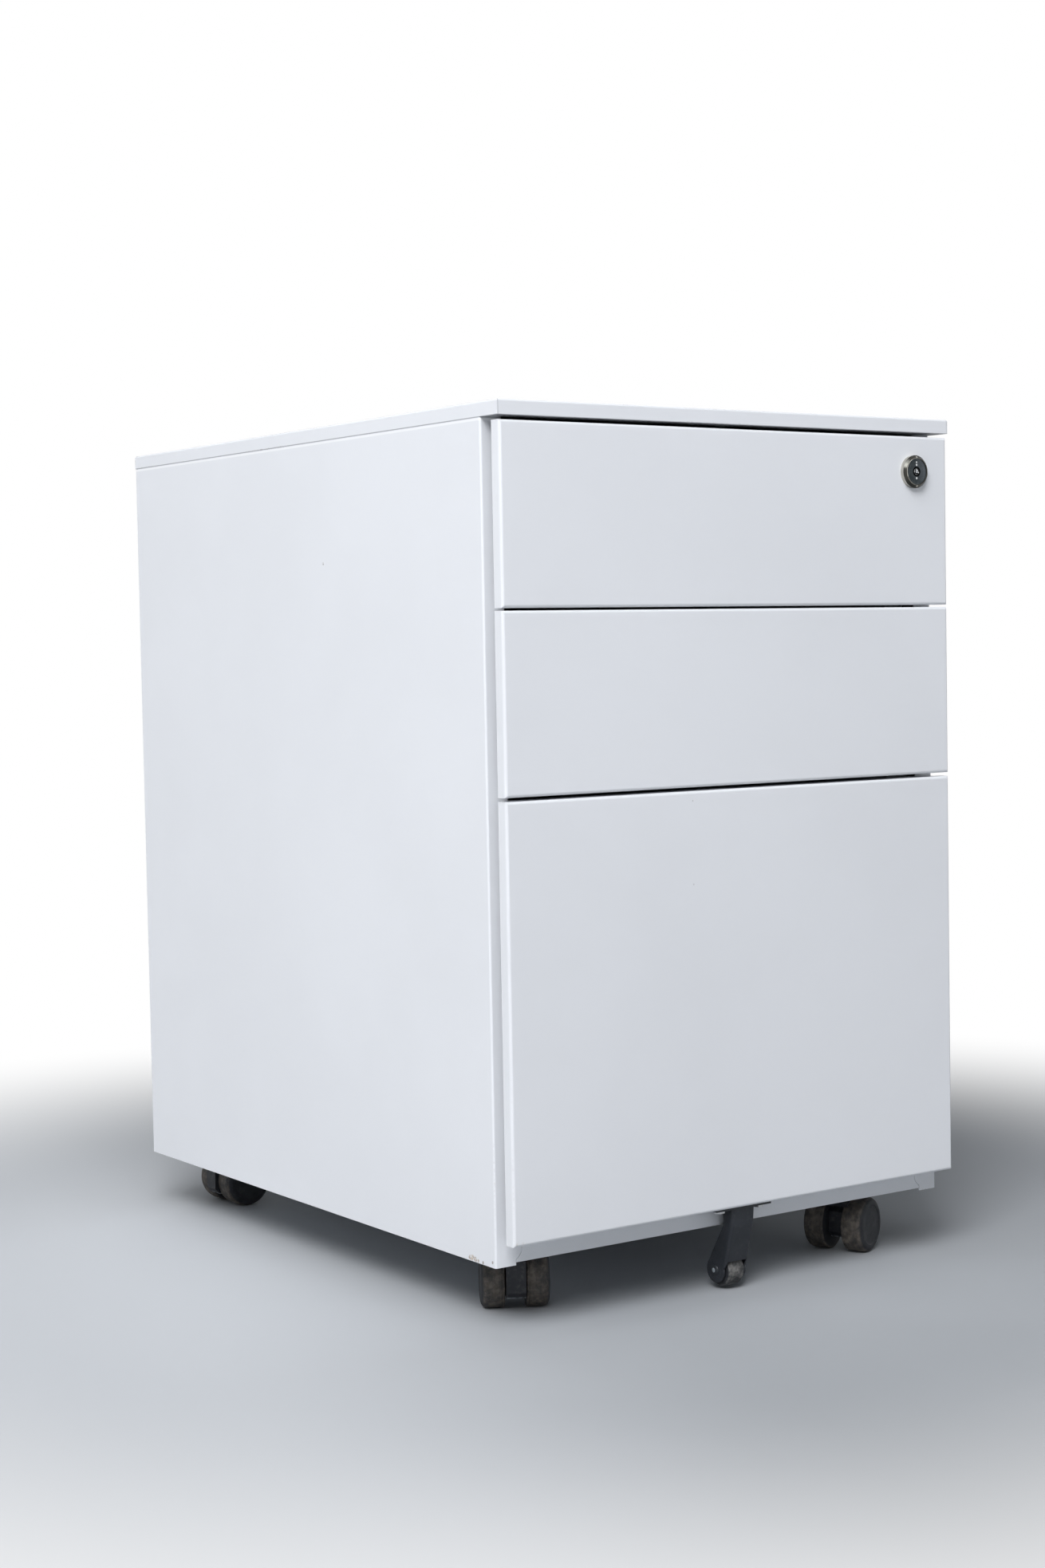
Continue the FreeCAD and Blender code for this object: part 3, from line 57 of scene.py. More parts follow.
class Tree:
    """An emptied node tree with its output, and short ways to add, compute and link."""

    def __init__(self, tree, output_kind):
        self.tree = tree
        tree.nodes.clear()
        self.output = self.node(output_kind)

    def node(self, kind, **values):
        """A new node; each value goes to the socket or the setting of that name."""
        made = self.tree.nodes.new(kind)
        for key, item in values.items():
            name = key.replace("_", " ")
            if name in made.inputs:
                made.inputs[name].default_value = item
            else:
                setattr(made, key, item)
        return made

    def link(self, start, end):
        """Feed a socket from an output or with an even value."""
        if hasattr(start, "is_output"):
            self.tree.links.new(start, end)
        else:
            end.default_value = start

    def show(self, shader):
        """Send a shader to the tree's output."""
        self.link(shader, self.output.inputs[0])

    # numbers

    def math(self, operation, first, second=0.0, third=0.0):
        made = self.node("ShaderNodeMath", operation=operation)
        for socket, item in zip(made.inputs, (first, second, third)):
            self.link(item, socket)
        return made.outputs[0]

    def between(self, factor, low, high):
        """A number between two."""
        return self.math("MULTIPLY_ADD", factor, high - low, low)

    def ramp(self, factor, low, high):
        """0 below low, 1 above high, and a smooth change between; low above high turns it round."""
        made = self.node("ShaderNodeMapRange", interpolation_type="SMOOTHSTEP", From_Min=low, From_Max=high)
        self.link(factor, made.inputs["Value"])
        return made.outputs["Result"]

    def noise(self, scale, detail=4.0, roughness=0.55, where=None):
        made = self.node("ShaderNodeTexNoise", Scale=scale, Detail=detail, Roughness=roughness)
        self.link(where or self.position(), made.inputs["Vector"])
        return made.outputs["Fac"]

    def patches(self, scale, detail, low, high, roughness=0.55):
        """Patches of noise: 0 outside them and 1 inside."""
        return self.ramp(self.noise(scale, detail, roughness), low, high)

    # places

    def position(self):
        return self.node("ShaderNodeTexCoord").outputs["Object"]

    def vector(self, operation, first, second=None):
        made = self.node("ShaderNodeVectorMath", operation=operation)
        self.link(first, made.inputs[0])
        if second is not None:
            self.link(second, made.inputs[1])
        return made.outputs["Value" if operation in ("DISTANCE", "DOT_PRODUCT", "LENGTH") else "Vector"]

    def split(self, vector):
        """The three measures of a place or a direction."""
        made = self.node("ShaderNodeSeparateXYZ")
        self.link(vector, made.inputs[0])
        return made.outputs

    def distance_to(self, point):
        return self.vector("DISTANCE", self.position(), point)

    def beyond(self, hub, direction):
        """How far a point lies from a hub in one direction."""
        return self.vector("DOT_PRODUCT", self.vector("SUBTRACT", self.position(), hub), direction)

    def round_axle(self, hub, axis):
        """How far a point lies from an axle, and how far along it from its hub."""
        offset = self.vector("SUBTRACT", self.position(), hub)
        along = self.vector("DOT_PRODUCT", offset, axis)
        squares = self.math("SUBTRACT", self.math("POWER", self.vector("LENGTH", offset), 2.0),
                            self.math("MULTIPLY", along, along))
        return self.math("SQRT", self.math("MAXIMUM", squares, 0.0)), along

    def rings(self, measure, scale):
        """A coordinate that changes with one measure alone, so that what it drives runs in rings."""
        made = self.node("ShaderNodeCombineXYZ")
        self.link(self.math("MULTIPLY", measure, scale), made.inputs[0])
        return made.outputs[0]

    def edge_distance(self, low, high):
        """How far a point on a box's faces lies from the nearest edge of that box."""
        place = self.split(self.position())
        gaps = []
        for axis in (X, Y, Z):
            from_low = self.math("SUBTRACT", place[axis], low[axis])
            from_high = self.math("SUBTRACT", high[axis], place[axis])
            gaps.append(self.math("ABSOLUTE", self.math("MINIMUM", from_low, from_high)))
        least = self.math("MINIMUM", gaps[X], gaps[Y])
        most = self.math("MAXIMUM", gaps[X], gaps[Y])
        return self.math("MAXIMUM", least, self.math("MINIMUM", most, gaps[Z]))

    # colours and shaders

    def blend(self, factor, first, second):
        """A colour between two, each an output or three numbers."""
        made = self.node("ShaderNodeMix", data_type="RGBA")
        self.link(factor, made.inputs[0])
        for colour, socket in ((first, made.inputs[6]), (second, made.inputs[7])):
            self.link(colour if hasattr(colour, "is_output") else (*colour, 1), socket)
        return made.outputs[2]

    def noise_colour(self, first, second, scale):
        """Soft clouds of two colours."""
        return self.blend(self.patches(scale, 3.0, 0.35, 0.65), first, second)

    def mix_shaders(self, factor, first, second):
        made = self.node("ShaderNodeMixShader")
        for socket, item in zip(made.inputs, (factor, first, second)):
            self.link(item, socket)
        return made.outputs[0]

    def bump(self, height, shader, strength, depth_mm):
        made = self.node("ShaderNodeBump", Strength=strength, Distance=depth_mm * MILLI)
        self.link(height, made.inputs["Height"])
        self.link(made.outputs["Normal"], shader.inputs["Normal"])

    def shown_rays(self):
        """1 for what the camera sees, straight or in a gloss or through glass, and 0 for what only lights."""
        rays = self.node("ShaderNodeLightPath").outputs
        return self.math("MAXIMUM", rays["Is Camera Ray"],
                         self.math("MAXIMUM", rays["Is Glossy Ray"], rays["Is Transmission Ray"]))


def new_material(name, **values):
    """A material with one Principled shader, whose even values are set on its own sockets."""
    material = bpy.data.materials.new(name)
    material.use_nodes = True
    tree = Tree(material.node_tree, "ShaderNodeOutputMaterial")
    shader = tree.node("ShaderNodeBsdfPrincipled")
    names = {"metallic": "Metallic", "roughness": "Roughness", "specular": "Specular IOR Level"}
    for key, item in values.items():
        shader.inputs[names[key]].default_value = item
    tree.show(shader.outputs[0])
    return material, tree, shader


def paint(tree, shader, colour, roughness):
    """Give a shader its colour and its roughness."""
    tree.link(colour, shader.inputs["Base Color"])
    tree.link(roughness, shader.inputs["Roughness"])


def add_object(name, data):
    """A new object in the scene's own collection."""
    made = bpy.data.objects.new(name, data)
    bpy.context.scene.collection.objects.link(made)
    return made


def dress(node, material):
    """Give a CAD node its material in every slot."""
    mesh = NODES[node].data
    mesh.materials.clear()
    mesh.materials.append(material)


# ------------------------------------------------------------------------------------------ camera

CAMERA_PLACE = Vector((-1.09652, -1.58894, 0.44804))
CAMERA_YAW, CAMERA_PITCH, CAMERA_ROLL = 0.60212, -0.05473, -0.01812
PHOTO_HEIGHT_PX, FOCAL_PX, SENSOR_MM = 1966, 3176.9, 36.0


def make_camera():
    """The photograph's view: turned from +Y towards +X, tipped a little down and rolled a little."""
    forward = Vector((math.sin(CAMERA_YAW) * math.cos(CAMERA_PITCH), math.cos(CAMERA_YAW) * math.cos(CAMERA_PITCH),
                      math.sin(CAMERA_PITCH)))
    level = Vector((math.cos(CAMERA_YAW), -math.sin(CAMERA_YAW), 0))
    upright = level.cross(forward)
    right = level * math.cos(CAMERA_ROLL) + upright * math.sin(CAMERA_ROLL)
    up = upright * math.cos(CAMERA_ROLL) - level * math.sin(CAMERA_ROLL)
    lens = bpy.data.cameras.new("camera")
    lens.sensor_width = SENSOR_MM
    lens.lens = FOCAL_PX / PHOTO_HEIGHT_PX * SENSOR_MM
    camera = add_object("camera", lens)
    turn = Matrix((right, up, -forward)).transposed()
    camera.matrix_world = Matrix.Translation(CAMERA_PLACE) @ turn.to_4x4()
    bpy.context.scene.camera = camera


# ------------------------------------------------------------------------------- lights and floor

# Soft boxes: name, place and size in metres, power in watts, and tint.
LAMPS = [
    ("key_front", (-1.12, -1.82, 3.92), (1.68, 1.68), 45, (0.97, 0.985, 1.03)),
    ("corner_left", (-2.8, -2.66, 3.5), (2.24, 1.96), 181, (0.985, 0.99, 1.015)),
    ("side_left", (-2.94, -0.56, 3.64), (2.24, 1.96), 33, (1.0, 1.0, 1.0)),
    ("back_right", (2.6, 3.0, 1.6), (2.4, 2.0), 24, (1.0, 1.0, 1.0)),
]
LAMP_TARGET = Vector((0, 0, 0.35))
PURE_WHITE = (1, 1, 1, 1)
SURROUND_TINT = (0.93, 0.96, 1.0, 1)
SURROUND_LOW, SURROUND_HIGH = 0.62, 0.04
HORIZON, OVERHEAD = -0.1, 0.8

FLOOR_HALF = 6.0
# The floor's colour in its shaded part, and in its painted pool of light at the left.
FLOOR_SHADED = (0.372, 0.389, 0.406), (0.388, 0.405, 0.423)
FLOOR_LIT = (0.555, 0.575, 0.595)
LIT_TOWARDS, LIT_WITHIN = (-1.0, 0.25, 0.0), 0.36
FADE_FROM, FADE_TO = 0.45, 1.05


def make_lights():
    """Three large soft boxes at the front, the front left and the left, a weak one behind, and a soft surround.

    The surround is a white background to the camera and lights the object less, mostly from low down.
    """
    for name, place, size, watts, tint in LAMPS:
        light = bpy.data.lights.new(name, "AREA")
        light.shape = "RECTANGLE"
        light.size, light.size_y = size
        light.energy = watts
        light.color = tint
        lamp = add_object(name, light)
        lamp.location = place
        lamp.rotation_euler = (LAMP_TARGET - Vector(place)).to_track_quat("-Z", "Y").to_euler()
    world = bpy.data.worlds.new("surround")
    bpy.context.scene.world = world
    world.use_nodes = True
    tree = Tree(world.node_tree, "ShaderNodeOutputWorld")
    height = tree.split(tree.node("ShaderNodeTexCoord").outputs["Generated"])[Z]
    soft = tree.node("ShaderNodeBackground", Color=SURROUND_TINT)
    strength = tree.between(tree.ramp(height, HORIZON, OVERHEAD), SURROUND_LOW, SURROUND_HIGH)
    tree.link(strength, soft.inputs["Strength"])
    white = tree.node("ShaderNodeBackground", Color=PURE_WHITE, Strength=1.0)
    tree.show(tree.mix_shaders(tree.shown_rays(), soft.outputs[0], white.outputs[0]))


def make_floor():
    """A plain pale floor with painted light, its colour lighter to the left, that takes the shadow and runs out into
    the white surround.
    """
    corners = [(-FLOOR_HALF, -FLOOR_HALF, 0), (FLOOR_HALF, -FLOOR_HALF, 0), (FLOOR_HALF, FLOOR_HALF, 0),
               (-FLOOR_HALF, FLOOR_HALF, 0)]
    mesh = bpy.data.meshes.new("floor")
    mesh.from_pydata(corners, [], [(0, 1, 2, 3)])
    floor = add_object("floor", mesh)
    material, tree, shader = new_material("floor_grey", roughness=0.9, specular=0.0)
    # Painted light: the floor's colour turns lighter towards the left, as if lit from there.
    lit = tree.ramp(tree.beyond((0, 0, 0), LIT_TOWARDS), 0.0, LIT_WITHIN)
    cloudy = tree.noise_colour(*FLOOR_SHADED, scale=3.0)
    tree.link(tree.blend(lit, cloudy, FLOOR_LIT), shader.inputs["Base Color"])
    away = tree.ramp(tree.distance_to((0, 0, 0)), FADE_FROM, FADE_TO)
    white = tree.node("ShaderNodeEmission", Color=PURE_WHITE, Strength=1.0)
    faded = tree.math("MULTIPLY", away, tree.shown_rays())
    tree.show(tree.mix_shaders(faded, shader.outputs[0], white.outputs[0]))
    mesh.materials.append(material)


# -------------------------------------------------------------------------------------- materials

WHITE, INNER_WHITE = (0.775, 0.790, 0.815), (0.74, 0.755, 0.775)
CHIP_TONES = (0.10, 0.085, 0.075), (0.27, 0.19, 0.125)
RUST_TONES = (0.16, 0.10, 0.055), (0.50, 0.38, 0.24)
# Painted shade for the gaps where sheets meet, and a painted highlight for the rounded fold beside them.
GAP_SHADE_TONE, FOLD_HIGHLIGHT_TONE = (0.16, 0.165, 0.18), (0.90, 0.91, 0.92)
ZINC, ALUMINIUM = (0.60, 0.61, 0.62), (0.72, 0.73, 0.74)
BROWN_DUST = (0.085, 0.073, 0.060), (0.150, 0.130, 0.108)
GREY_DUST = (0.055, 0.055, 0.053), (0.210, 0.205, 0.195)

# Scales of noise and rings are in repeats per metre. A patch fades in where its noise goes from low to high.

# Chips and rubs that show in the paint: place and radius in metres, and whether they are down to the rust.
PAINT_MARKS = [
    ((-0.1950, -0.2060, 0.0458), 0.0024, True), ((-0.1950, -0.2090, 0.0462), 0.0030, True),
    ((-0.1950, -0.2125, 0.0456), 0.0026, True), ((-0.1950, -0.2160, 0.0452), 0.0018, True),
    ((-0.1950, -0.2215, 0.0453), 0.0016, False), ((-0.1950, -0.2330, 0.0475), 0.0014, False),
    ((-0.1915, -0.2583, 0.0625), 0.0032, True), ((-0.1905, -0.2583, 0.0675), 0.0024, False),
    ((-0.1865, -0.2583, 0.0630), 0.0028, True), ((-0.1817, -0.2388, 0.0509), 0.0013, False),
    ((-0.1710, -0.2388, 0.0495), 0.0014, False), ((0.1925, -0.2583, 0.0620), 0.0016, False),
    ((-0.1950, -0.2440, 0.5920), 0.0016, False), ((-0.1950, -0.0340, 0.5078), 0.0014, False),
]

# Small painted highlights, bright spots on the lock's face and rim, above and below its middle: height and radius in
# metres.
LOCK_HIGHLIGHT_SPOTS = [(0.0106, 0.00055), (0.0066, 0.00050), (0.0047, 0.00060), (-0.0047, 0.00060), (-0.0106, 0.00055)]
HIGHLIGHT_SPOT_RIM = 0.5 * MILLI


def paint_specks(tree):
    """1 in small scattered specks, and 0 elsewhere."""
    cells_per_metre, chosen_above, speck_fade = 95.0, 0.975, (0.075, 0.03)
    cells = tree.node("ShaderNodeTexVoronoi", Scale=cells_per_metre)
    tree.link(tree.position(), cells.inputs["Vector"])
    pick = tree.node("ShaderNodeSeparateColor")
    tree.link(cells.outputs["Color"], pick.inputs[0])
    chosen = tree.math("GREATER_THAN", pick.outputs[0], chosen_above)
    return tree.math("MULTIPLY", chosen, tree.ramp(cells.outputs["Distance"], *speck_fade))


def rubbed_edges(tree, low, high):
    """Grainy rubs on some stretches of a box's edges."""
    edge_fade = 1.1 * MILLI, 0.2 * MILLI
    where = tree.patches(14.0, detail=2.0, low=0.56, high=0.66)
    grain = tree.patches(900.0, detail=5.0, low=0.52, high=0.60, roughness=0.7)
    at_edge = tree.ramp(tree.edge_distance(low, high), *edge_fade)
    return tree.math("MULTIPLY", tree.math("MULTIPLY", where, grain), at_edge)


def enamel(name, low, high, colour, marks=(), seams=()):
    """Powder coat: a fine orange-peel skin, broad faint shading, specks, rubbed edges, chips, and seam lines of
    painted shade in the gaps and a painted highlight on the folds.
    """
    speck_strength, rub_strength, mark_strength = 0.35, 0.45, 0.85
    darkest, lightest, mark_core, seam_core = 0.985, 1.012, 0.3, 0.35
    material, tree, shader = new_material(name, roughness=0.5, specular=0.24)
    grime = tree.math("MAXIMUM", tree.math("MULTIPLY", paint_specks(tree), speck_strength),
                      tree.math("MULTIPLY", rubbed_edges(tree, low, high), rub_strength))
    rust = 0.0
    for place, radius, rusty in marks:
        close = tree.ramp(tree.distance_to(place), radius, radius * mark_core)
        ragged = tree.patches(750.0, detail=4.0, low=0.40, high=0.54, roughness=0.7)
        mark = tree.math("MULTIPLY", tree.math("MULTIPLY", close, ragged), mark_strength)
        if rusty:
            rust = tree.math("MAXIMUM", rust, mark)
        else:
            grime = tree.math("MAXIMUM", grime, mark)
    coat = tree.noise_colour([channel * darkest for channel in colour], [channel * lightest for channel in colour],
                             scale=5.0)
    surface_colour = tree.blend(grime, coat, tree.noise_colour(*CHIP_TONES, scale=600.0))
    if marks:
        surface_colour = tree.blend(rust, surface_colour, tree.noise_colour(*RUST_TONES, scale=700.0))
    # Seam lines: painted shade along the joins, and a painted highlight along the side panels' folded top edge.
    for axis, middle, half_width, strength, tone in seams:
        beside = tree.math("ABSOLUTE", tree.math("SUBTRACT", tree.split(tree.position())[axis], middle))
        line = tree.math("MULTIPLY", tree.ramp(beside, half_width, half_width * seam_core), strength)
        surface_colour = tree.blend(line, surface_colour, tone)
    paint(tree, shader, surface_colour, tree.between(tree.noise(120.0, detail=5.0), 0.44, 0.56))
    tree.bump(tree.noise(420.0, detail=3.0, roughness=0.6), shader, strength=0.18, depth_mm=0.02)
    return material


def zinc(name, run, colour=ZINC):
    """Bright zinc-plated steel with fine drawing lines along one axis."""
    along_lines, across_lines, shade_of_lines, darkest = 40.0, 1600.0, 0.5, 0.78
    material, tree, shader = new_material(name, metallic=1.0, roughness=0.32)
    factors = [along_lines if axis == run else across_lines for axis in (X, Y, Z)]
    grain = tree.noise(1.0, detail=4.0, roughness=0.6, where=tree.vector("MULTIPLY", tree.position(), factors))
    cloudy = tree.noise(60.0, detail=4.0)
    shade = tree.math("ADD", tree.math("MULTIPLY", grain, shade_of_lines),
                      tree.math("MULTIPLY", cloudy, 1 - shade_of_lines))
    dark = [channel * darkest for channel in colour]
    paint(tree, shader, tree.blend(tree.ramp(shade, 0.3, 0.7), dark, colour), tree.between(grain, 0.24, 0.44))
    tree.bump(grain, shader, strength=0.15, depth_mm=0.02)
    return material


def moulded_black(name, dust=0.35, edge_highlight_height=None):
    """Black moulded plastic: a fine eroded skin, a bluish sheen, a little dust, and a painted highlight along its
    lower edge at one height.
    """
    dust_tone, edge_highlight_tone = (0.10, 0.095, 0.088), (0.21, 0.22, 0.24)
    material, tree, shader = new_material(name, roughness=0.5, specular=0.4)
    skin = tree.noise(1500.0, detail=3.0, roughness=0.6)
    settled = tree.math("MULTIPLY", tree.patches(260.0, detail=5.0, low=0.48, high=0.72, roughness=0.65), dust)
    base = tree.noise_colour((0.011, 0.013, 0.018), (0.017, 0.019, 0.024), scale=80.0)
    dust_and_highlight = tree.blend(settled, base, dust_tone)
    # A broken painted highlight along the hood's lower lip, where it catches the light.
    if edge_highlight_height:
        height = tree.split(tree.position())[Z]
        low_edge = tree.ramp(height, edge_highlight_height + 1.3 * MILLI, edge_highlight_height + 0.5 * MILLI)
        broken = tree.patches(420.0, detail=4.0, low=0.38, high=0.55, roughness=0.7)
        dust_and_highlight = tree.blend(tree.math("MULTIPLY", low_edge, broken), dust_and_highlight, edge_highlight_tone)
    paint(tree, shader, dust_and_highlight, tree.between(skin, 0.42, 0.62))
    tree.bump(skin, shader, strength=0.25, depth_mm=0.03)
    return material


def dusty_wheel(name, hub, axis, tread_radius, dusts):
    """A black wheel whose tread has picked up dust between two colours, rubbed in rings round the axle."""
    haze_tone, haze_strength, ring_strength = (0.09, 0.085, 0.08), 0.18, 0.35
    tread_from, tread_to = 0.90, 0.985
    material, tree, shader = new_material(name, roughness=0.6, specular=0.35)
    radius, along = tree.round_axle(hub, axis)
    on_tread = tree.ramp(radius, tread_radius * tread_from, tread_radius * tread_to)
    rings = tree.noise(1.0, detail=3.0, roughness=0.6, where=tree.rings(along, 2600.0))
    patchy = tree.noise(170.0, detail=6.0, roughness=0.7)
    rubbed = tree.ramp(tree.math("MULTIPLY_ADD", rings, ring_strength, patchy), 0.42, 0.86)
    haze = tree.math("MULTIPLY", tree.patches(300.0, detail=5.0, low=0.45, high=0.75, roughness=0.7), haze_strength)
    base = tree.noise_colour((0.012, 0.014, 0.018), (0.02, 0.022, 0.026), scale=120.0)
    surface_colour = tree.blend(tree.math("MULTIPLY", on_tread, rubbed), tree.blend(haze, base, haze_tone),
                      tree.noise_colour(*dusts, scale=240.0))
    paint(tree, shader, surface_colour, tree.between(patchy, 0.5, 0.8))
    tree.bump(tree.math("ADD", patchy, tree.noise(2200.0, detail=3.0)), shader, strength=0.3, depth_mm=0.04)
    return material


def lock_highlight_spots(tree, hub):
    """1 inside the lock's small painted highlight spots, and 0 elsewhere."""
    marks = 0.0
    for height, size in LOCK_HIGHLIGHT_SPOTS:
        place = (hub[X], hub[Y], hub[Z] + height)
        marks = tree.math("MAXIMUM", marks, tree.ramp(tree.distance_to(place), size + HIGHLIGHT_SPOT_RIM, size))
    return marks


def lock_housing(name, hub, axis):
    """The lock's fixed part, coloured with painted reflections: a silvery side, a dark bevel, and a thin ring inside
    it, with the ring and side painted brighter at the left as highlights.
    """
    ring_radii, side_from = (9.85 * MILLI, 9.65 * MILLI), (1.65 * MILLI, 1.85 * MILLI)
    lit_towards, lit_between = (-0.95, 0.0, 0.31), (-3.0 * MILLI, 8.0 * MILLI)
    darkest_ring, darkest_side, dullest = 0.06, 0.35, 0.35
    material, tree, shader = new_material(name, metallic=1.0, roughness=0.2)
    radius, along = tree.round_axle(hub, axis)
    # Painted highlight: the ring and the side are lighter at the left, where the light falls.
    left = tree.ramp(tree.beyond(hub, lit_towards), *lit_between)
    uneven = tree.patches(260.0, detail=3.0, low=0.38, high=0.58)
    ring_light = tree.math("MULTIPLY", tree.between(left, darkest_ring, 1.0), tree.between(uneven, dullest, 1.0))
    inner_ring = tree.math("MULTIPLY", tree.ramp(radius, *ring_radii), ring_light)
    side = tree.math("MULTIPLY", tree.ramp(along, *side_from), tree.between(left, darkest_side, 1.0))
    bright = tree.math("MAXIMUM", tree.math("MAXIMUM", inner_ring, side), lock_highlight_spots(tree, hub))
    fine = tree.noise(1.0, detail=3.0, roughness=0.6, where=tree.rings(radius, 7000.0))
    # The dark bevel and face, and the silvery side, are painted reflections on chrome.
    dark = tree.blend(fine, (0.040, 0.040, 0.036), (0.075, 0.074, 0.066))
    silver = tree.blend(fine, (0.46, 0.44, 0.39), (0.58, 0.56, 0.51))
    paint(tree, shader, tree.blend(bright, dark, silver), tree.between(fine, 0.16, 0.28))
    tree.bump(fine, shader, strength=0.12, depth_mm=0.01)
    return material


def lock_face(name, hub, axis):
    """The turning plug's face: brushed in rings and painted dark as a reflection, lighter to the right as a painted
    reflection, with a patchy painted highlight on the post and painted shade in the round keyhole.
    """
    keyhole_edge, post_edge = (3.6 * MILLI, 3.4 * MILLI), (2.4 * MILLI, 2.1 * MILLI)
    keyhole_shade_tone, post_highlight_tone, right_tone = (0.010, 0.011, 0.012), (0.72, 0.74, 0.76), (0.100, 0.112, 0.128)
    lighter_towards, lighter_between = (0.9, 0.0, 0.1), (-1.0 * MILLI, 8.0 * MILLI)
    ring_strength, right_strength = 0.6, 0.7
    material, tree, shader = new_material(name, metallic=1.0, roughness=0.26)
    radius, _ = tree.round_axle(hub, axis)
    rings = tree.noise(1.0, detail=4.0, roughness=0.65, where=tree.rings(radius, 6500.0))
    brushed = tree.ramp(tree.math("MULTIPLY_ADD", rings, ring_strength, tree.noise(330.0, detail=3.0)), 0.5, 1.05)
    # Painted reflection: the chrome face is coloured dark, and lighter towards the right.
    dark = tree.blend(brushed, (0.024, 0.030, 0.033), (0.062, 0.072, 0.078))
    right = tree.ramp(tree.beyond(hub, lighter_towards), *lighter_between)
    dark = tree.blend(tree.math("MULTIPLY", right, right_strength), dark, right_tone)
    # Painted shade in the round keyhole, and a patchy painted highlight on the post in its middle.
    holed = tree.blend(tree.ramp(radius, *keyhole_edge), dark, keyhole_shade_tone)
    post = tree.math("MULTIPLY", tree.ramp(radius, *post_edge), tree.patches(520.0, detail=2.0, low=0.44, high=0.56))
    bright = tree.math("MAXIMUM", post, lock_highlight_spots(tree, hub))
    paint(tree, shader, tree.blend(bright, holed, post_highlight_tone), tree.between(rings, 0.20, 0.34))
    tree.bump(rings, shader, strength=0.15, depth_mm=0.01)
    return material


def rivet_paint(name, hub, axis):
    """Zinc whose heads are painted over, apart from a small pale, metallic middle."""
    raggedness, pale_middle_radii, pale_middle_metallic = 0.35 * MILLI, (1.75 * MILLI, 1.35 * MILLI), 0.8
    material, tree, shader = new_material(name, roughness=0.42, specular=0.4)
    radius, _ = tree.round_axle(hub, axis)
    ragged = tree.between(tree.noise(900.0, detail=3.0), -raggedness, raggedness)
    middle = tree.ramp(tree.math("ADD", radius, ragged), *pale_middle_radii)
    grain = tree.noise(1400.0, detail=4.0)
    black = tree.blend(grain, (0.014, 0.017, 0.021), (0.022, 0.025, 0.030))
    silver = tree.blend(grain, (0.42, 0.47, 0.52), (0.62, 0.67, 0.70))
    paint(tree, shader, tree.blend(middle, black, silver), tree.between(grain, 0.34, 0.5))
    tree.link(tree.math("MULTIPLY", middle, pale_middle_metallic), shader.inputs["Metallic"])
    tree.bump(grain, shader, strength=0.15, depth_mm=0.02)
    return material


def black_enamel(name):
    """Satin black paint on folded steel, dulled by dust."""
    dust_tone, dust_strength = (0.09, 0.088, 0.085), 0.22
    material, tree, shader = new_material(name, roughness=0.4, specular=0.45)
    base = tree.noise_colour((0.014, 0.017, 0.022), (0.020, 0.023, 0.029), scale=60.0)
    dust = tree.math("MULTIPLY", tree.patches(310.0, detail=5.0, low=0.5, high=0.75, roughness=0.65), dust_strength)
    paint(tree, shader, tree.blend(dust, base, dust_tone), tree.between(tree.noise(500.0, detail=4.0), 0.34, 0.5))
    tree.bump(tree.noise(900.0, detail=3.0), shader, strength=0.2, depth_mm=0.03)
    return material


# ------------------------------------------------------------------------------------ turned pieces

TURNED_SEGMENTS = 96
SHARP_DEGREES = 32
SAME_POINT = 0.0005 * MILLI


def arc(centre, radii, start, end, steps=7):
    """Points round part of an oval in a profile's plane, between two angles in degrees."""
    points = []
    for step in range(steps + 1):
        turn = math.radians(start + (end - start) * step / steps)
        points.append((centre[0] + radii[0] * math.cos(turn), centre[1] + radii[1] * math.sin(turn)))
    return points


def turned(name, node, material, profile, hub, axis):
    """A closed profile of (radius, distance along the axle), in millimetres, swept once round the axle.

    It stands for a CAD node and rides on that node's body.
    """
    axle = Vector(axis).normalized()
    across = axle.orthogonal().normalized()
    upward = axle.cross(across)
    shape = bmesh.new()
    loops = []
    for step in range(TURNED_SEGMENTS):
        turn = 2 * math.pi * step / TURNED_SEGMENTS
        outward = across * math.cos(turn) + upward * math.sin(turn)
        loops.append([shape.verts.new(Vector(hub) + (axle * along + outward * radius) * MILLI)
                      for radius, along in profile])
    for step, loop in enumerate(loops):
        following = loops[(step + 1) % TURNED_SEGMENTS]
        for point in range(len(profile)):
            after = (point + 1) % len(profile)
            shape.faces.new((loop[point], following[point], following[after], loop[after]))
    bmesh.ops.remove_doubles(shape, verts=shape.verts, dist=SAME_POINT)
    bmesh.ops.recalc_face_normals(shape, faces=shape.faces)
    mesh = bpy.data.meshes.new(name)
    shape.to_mesh(mesh)
    shape.free()
    mesh.shade_smooth()
    mesh.set_sharp_from_angle(angle=math.radians(SHARP_DEGREES))
    mesh.materials.append(material)
    piece = add_object(name, mesh)
    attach(piece, BODY_OF[node])
    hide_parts(node)


def castor_wheel_profile(hand):
    """A tread with a fine groove near its inner edge, a rounded shoulder and a shallow dished face.

    The groove's points are distances from the inner face and depths, and the dish's are radii and depths.
    """
    inner, outer, tread, bore, seat = 7.3, 23.3, 20.0, 2.06, 17.36
    edge, shoulder = 0.7, 4.4
    groove = [(1.7, 0.0), (1.85, 0.3), (2.05, 0.3), (2.2, 0.0)]
    dish = [(14.6, 0.0), (14.2, 0.35), (13.6, 0.45), (8.0, 0.35), (4.0, 0.25), (0.0, 0.2)]
    points = [(bore, inner), (tread - edge, inner)]
    points += arc((tread - edge, inner + edge), (edge, edge), -90, 0, 3)
    points += [(tread - depth, inner + along) for along, depth in groove]
    points += arc((tread - shoulder, outer - shoulder), (shoulder, shoulder), 0, 90, 9)
    points += [(radius, outer - depth) for radius, depth in dish]
    points += [(0.0, seat), (bore, seat)]
    return [(radius, hand * along) for radius, along in points]


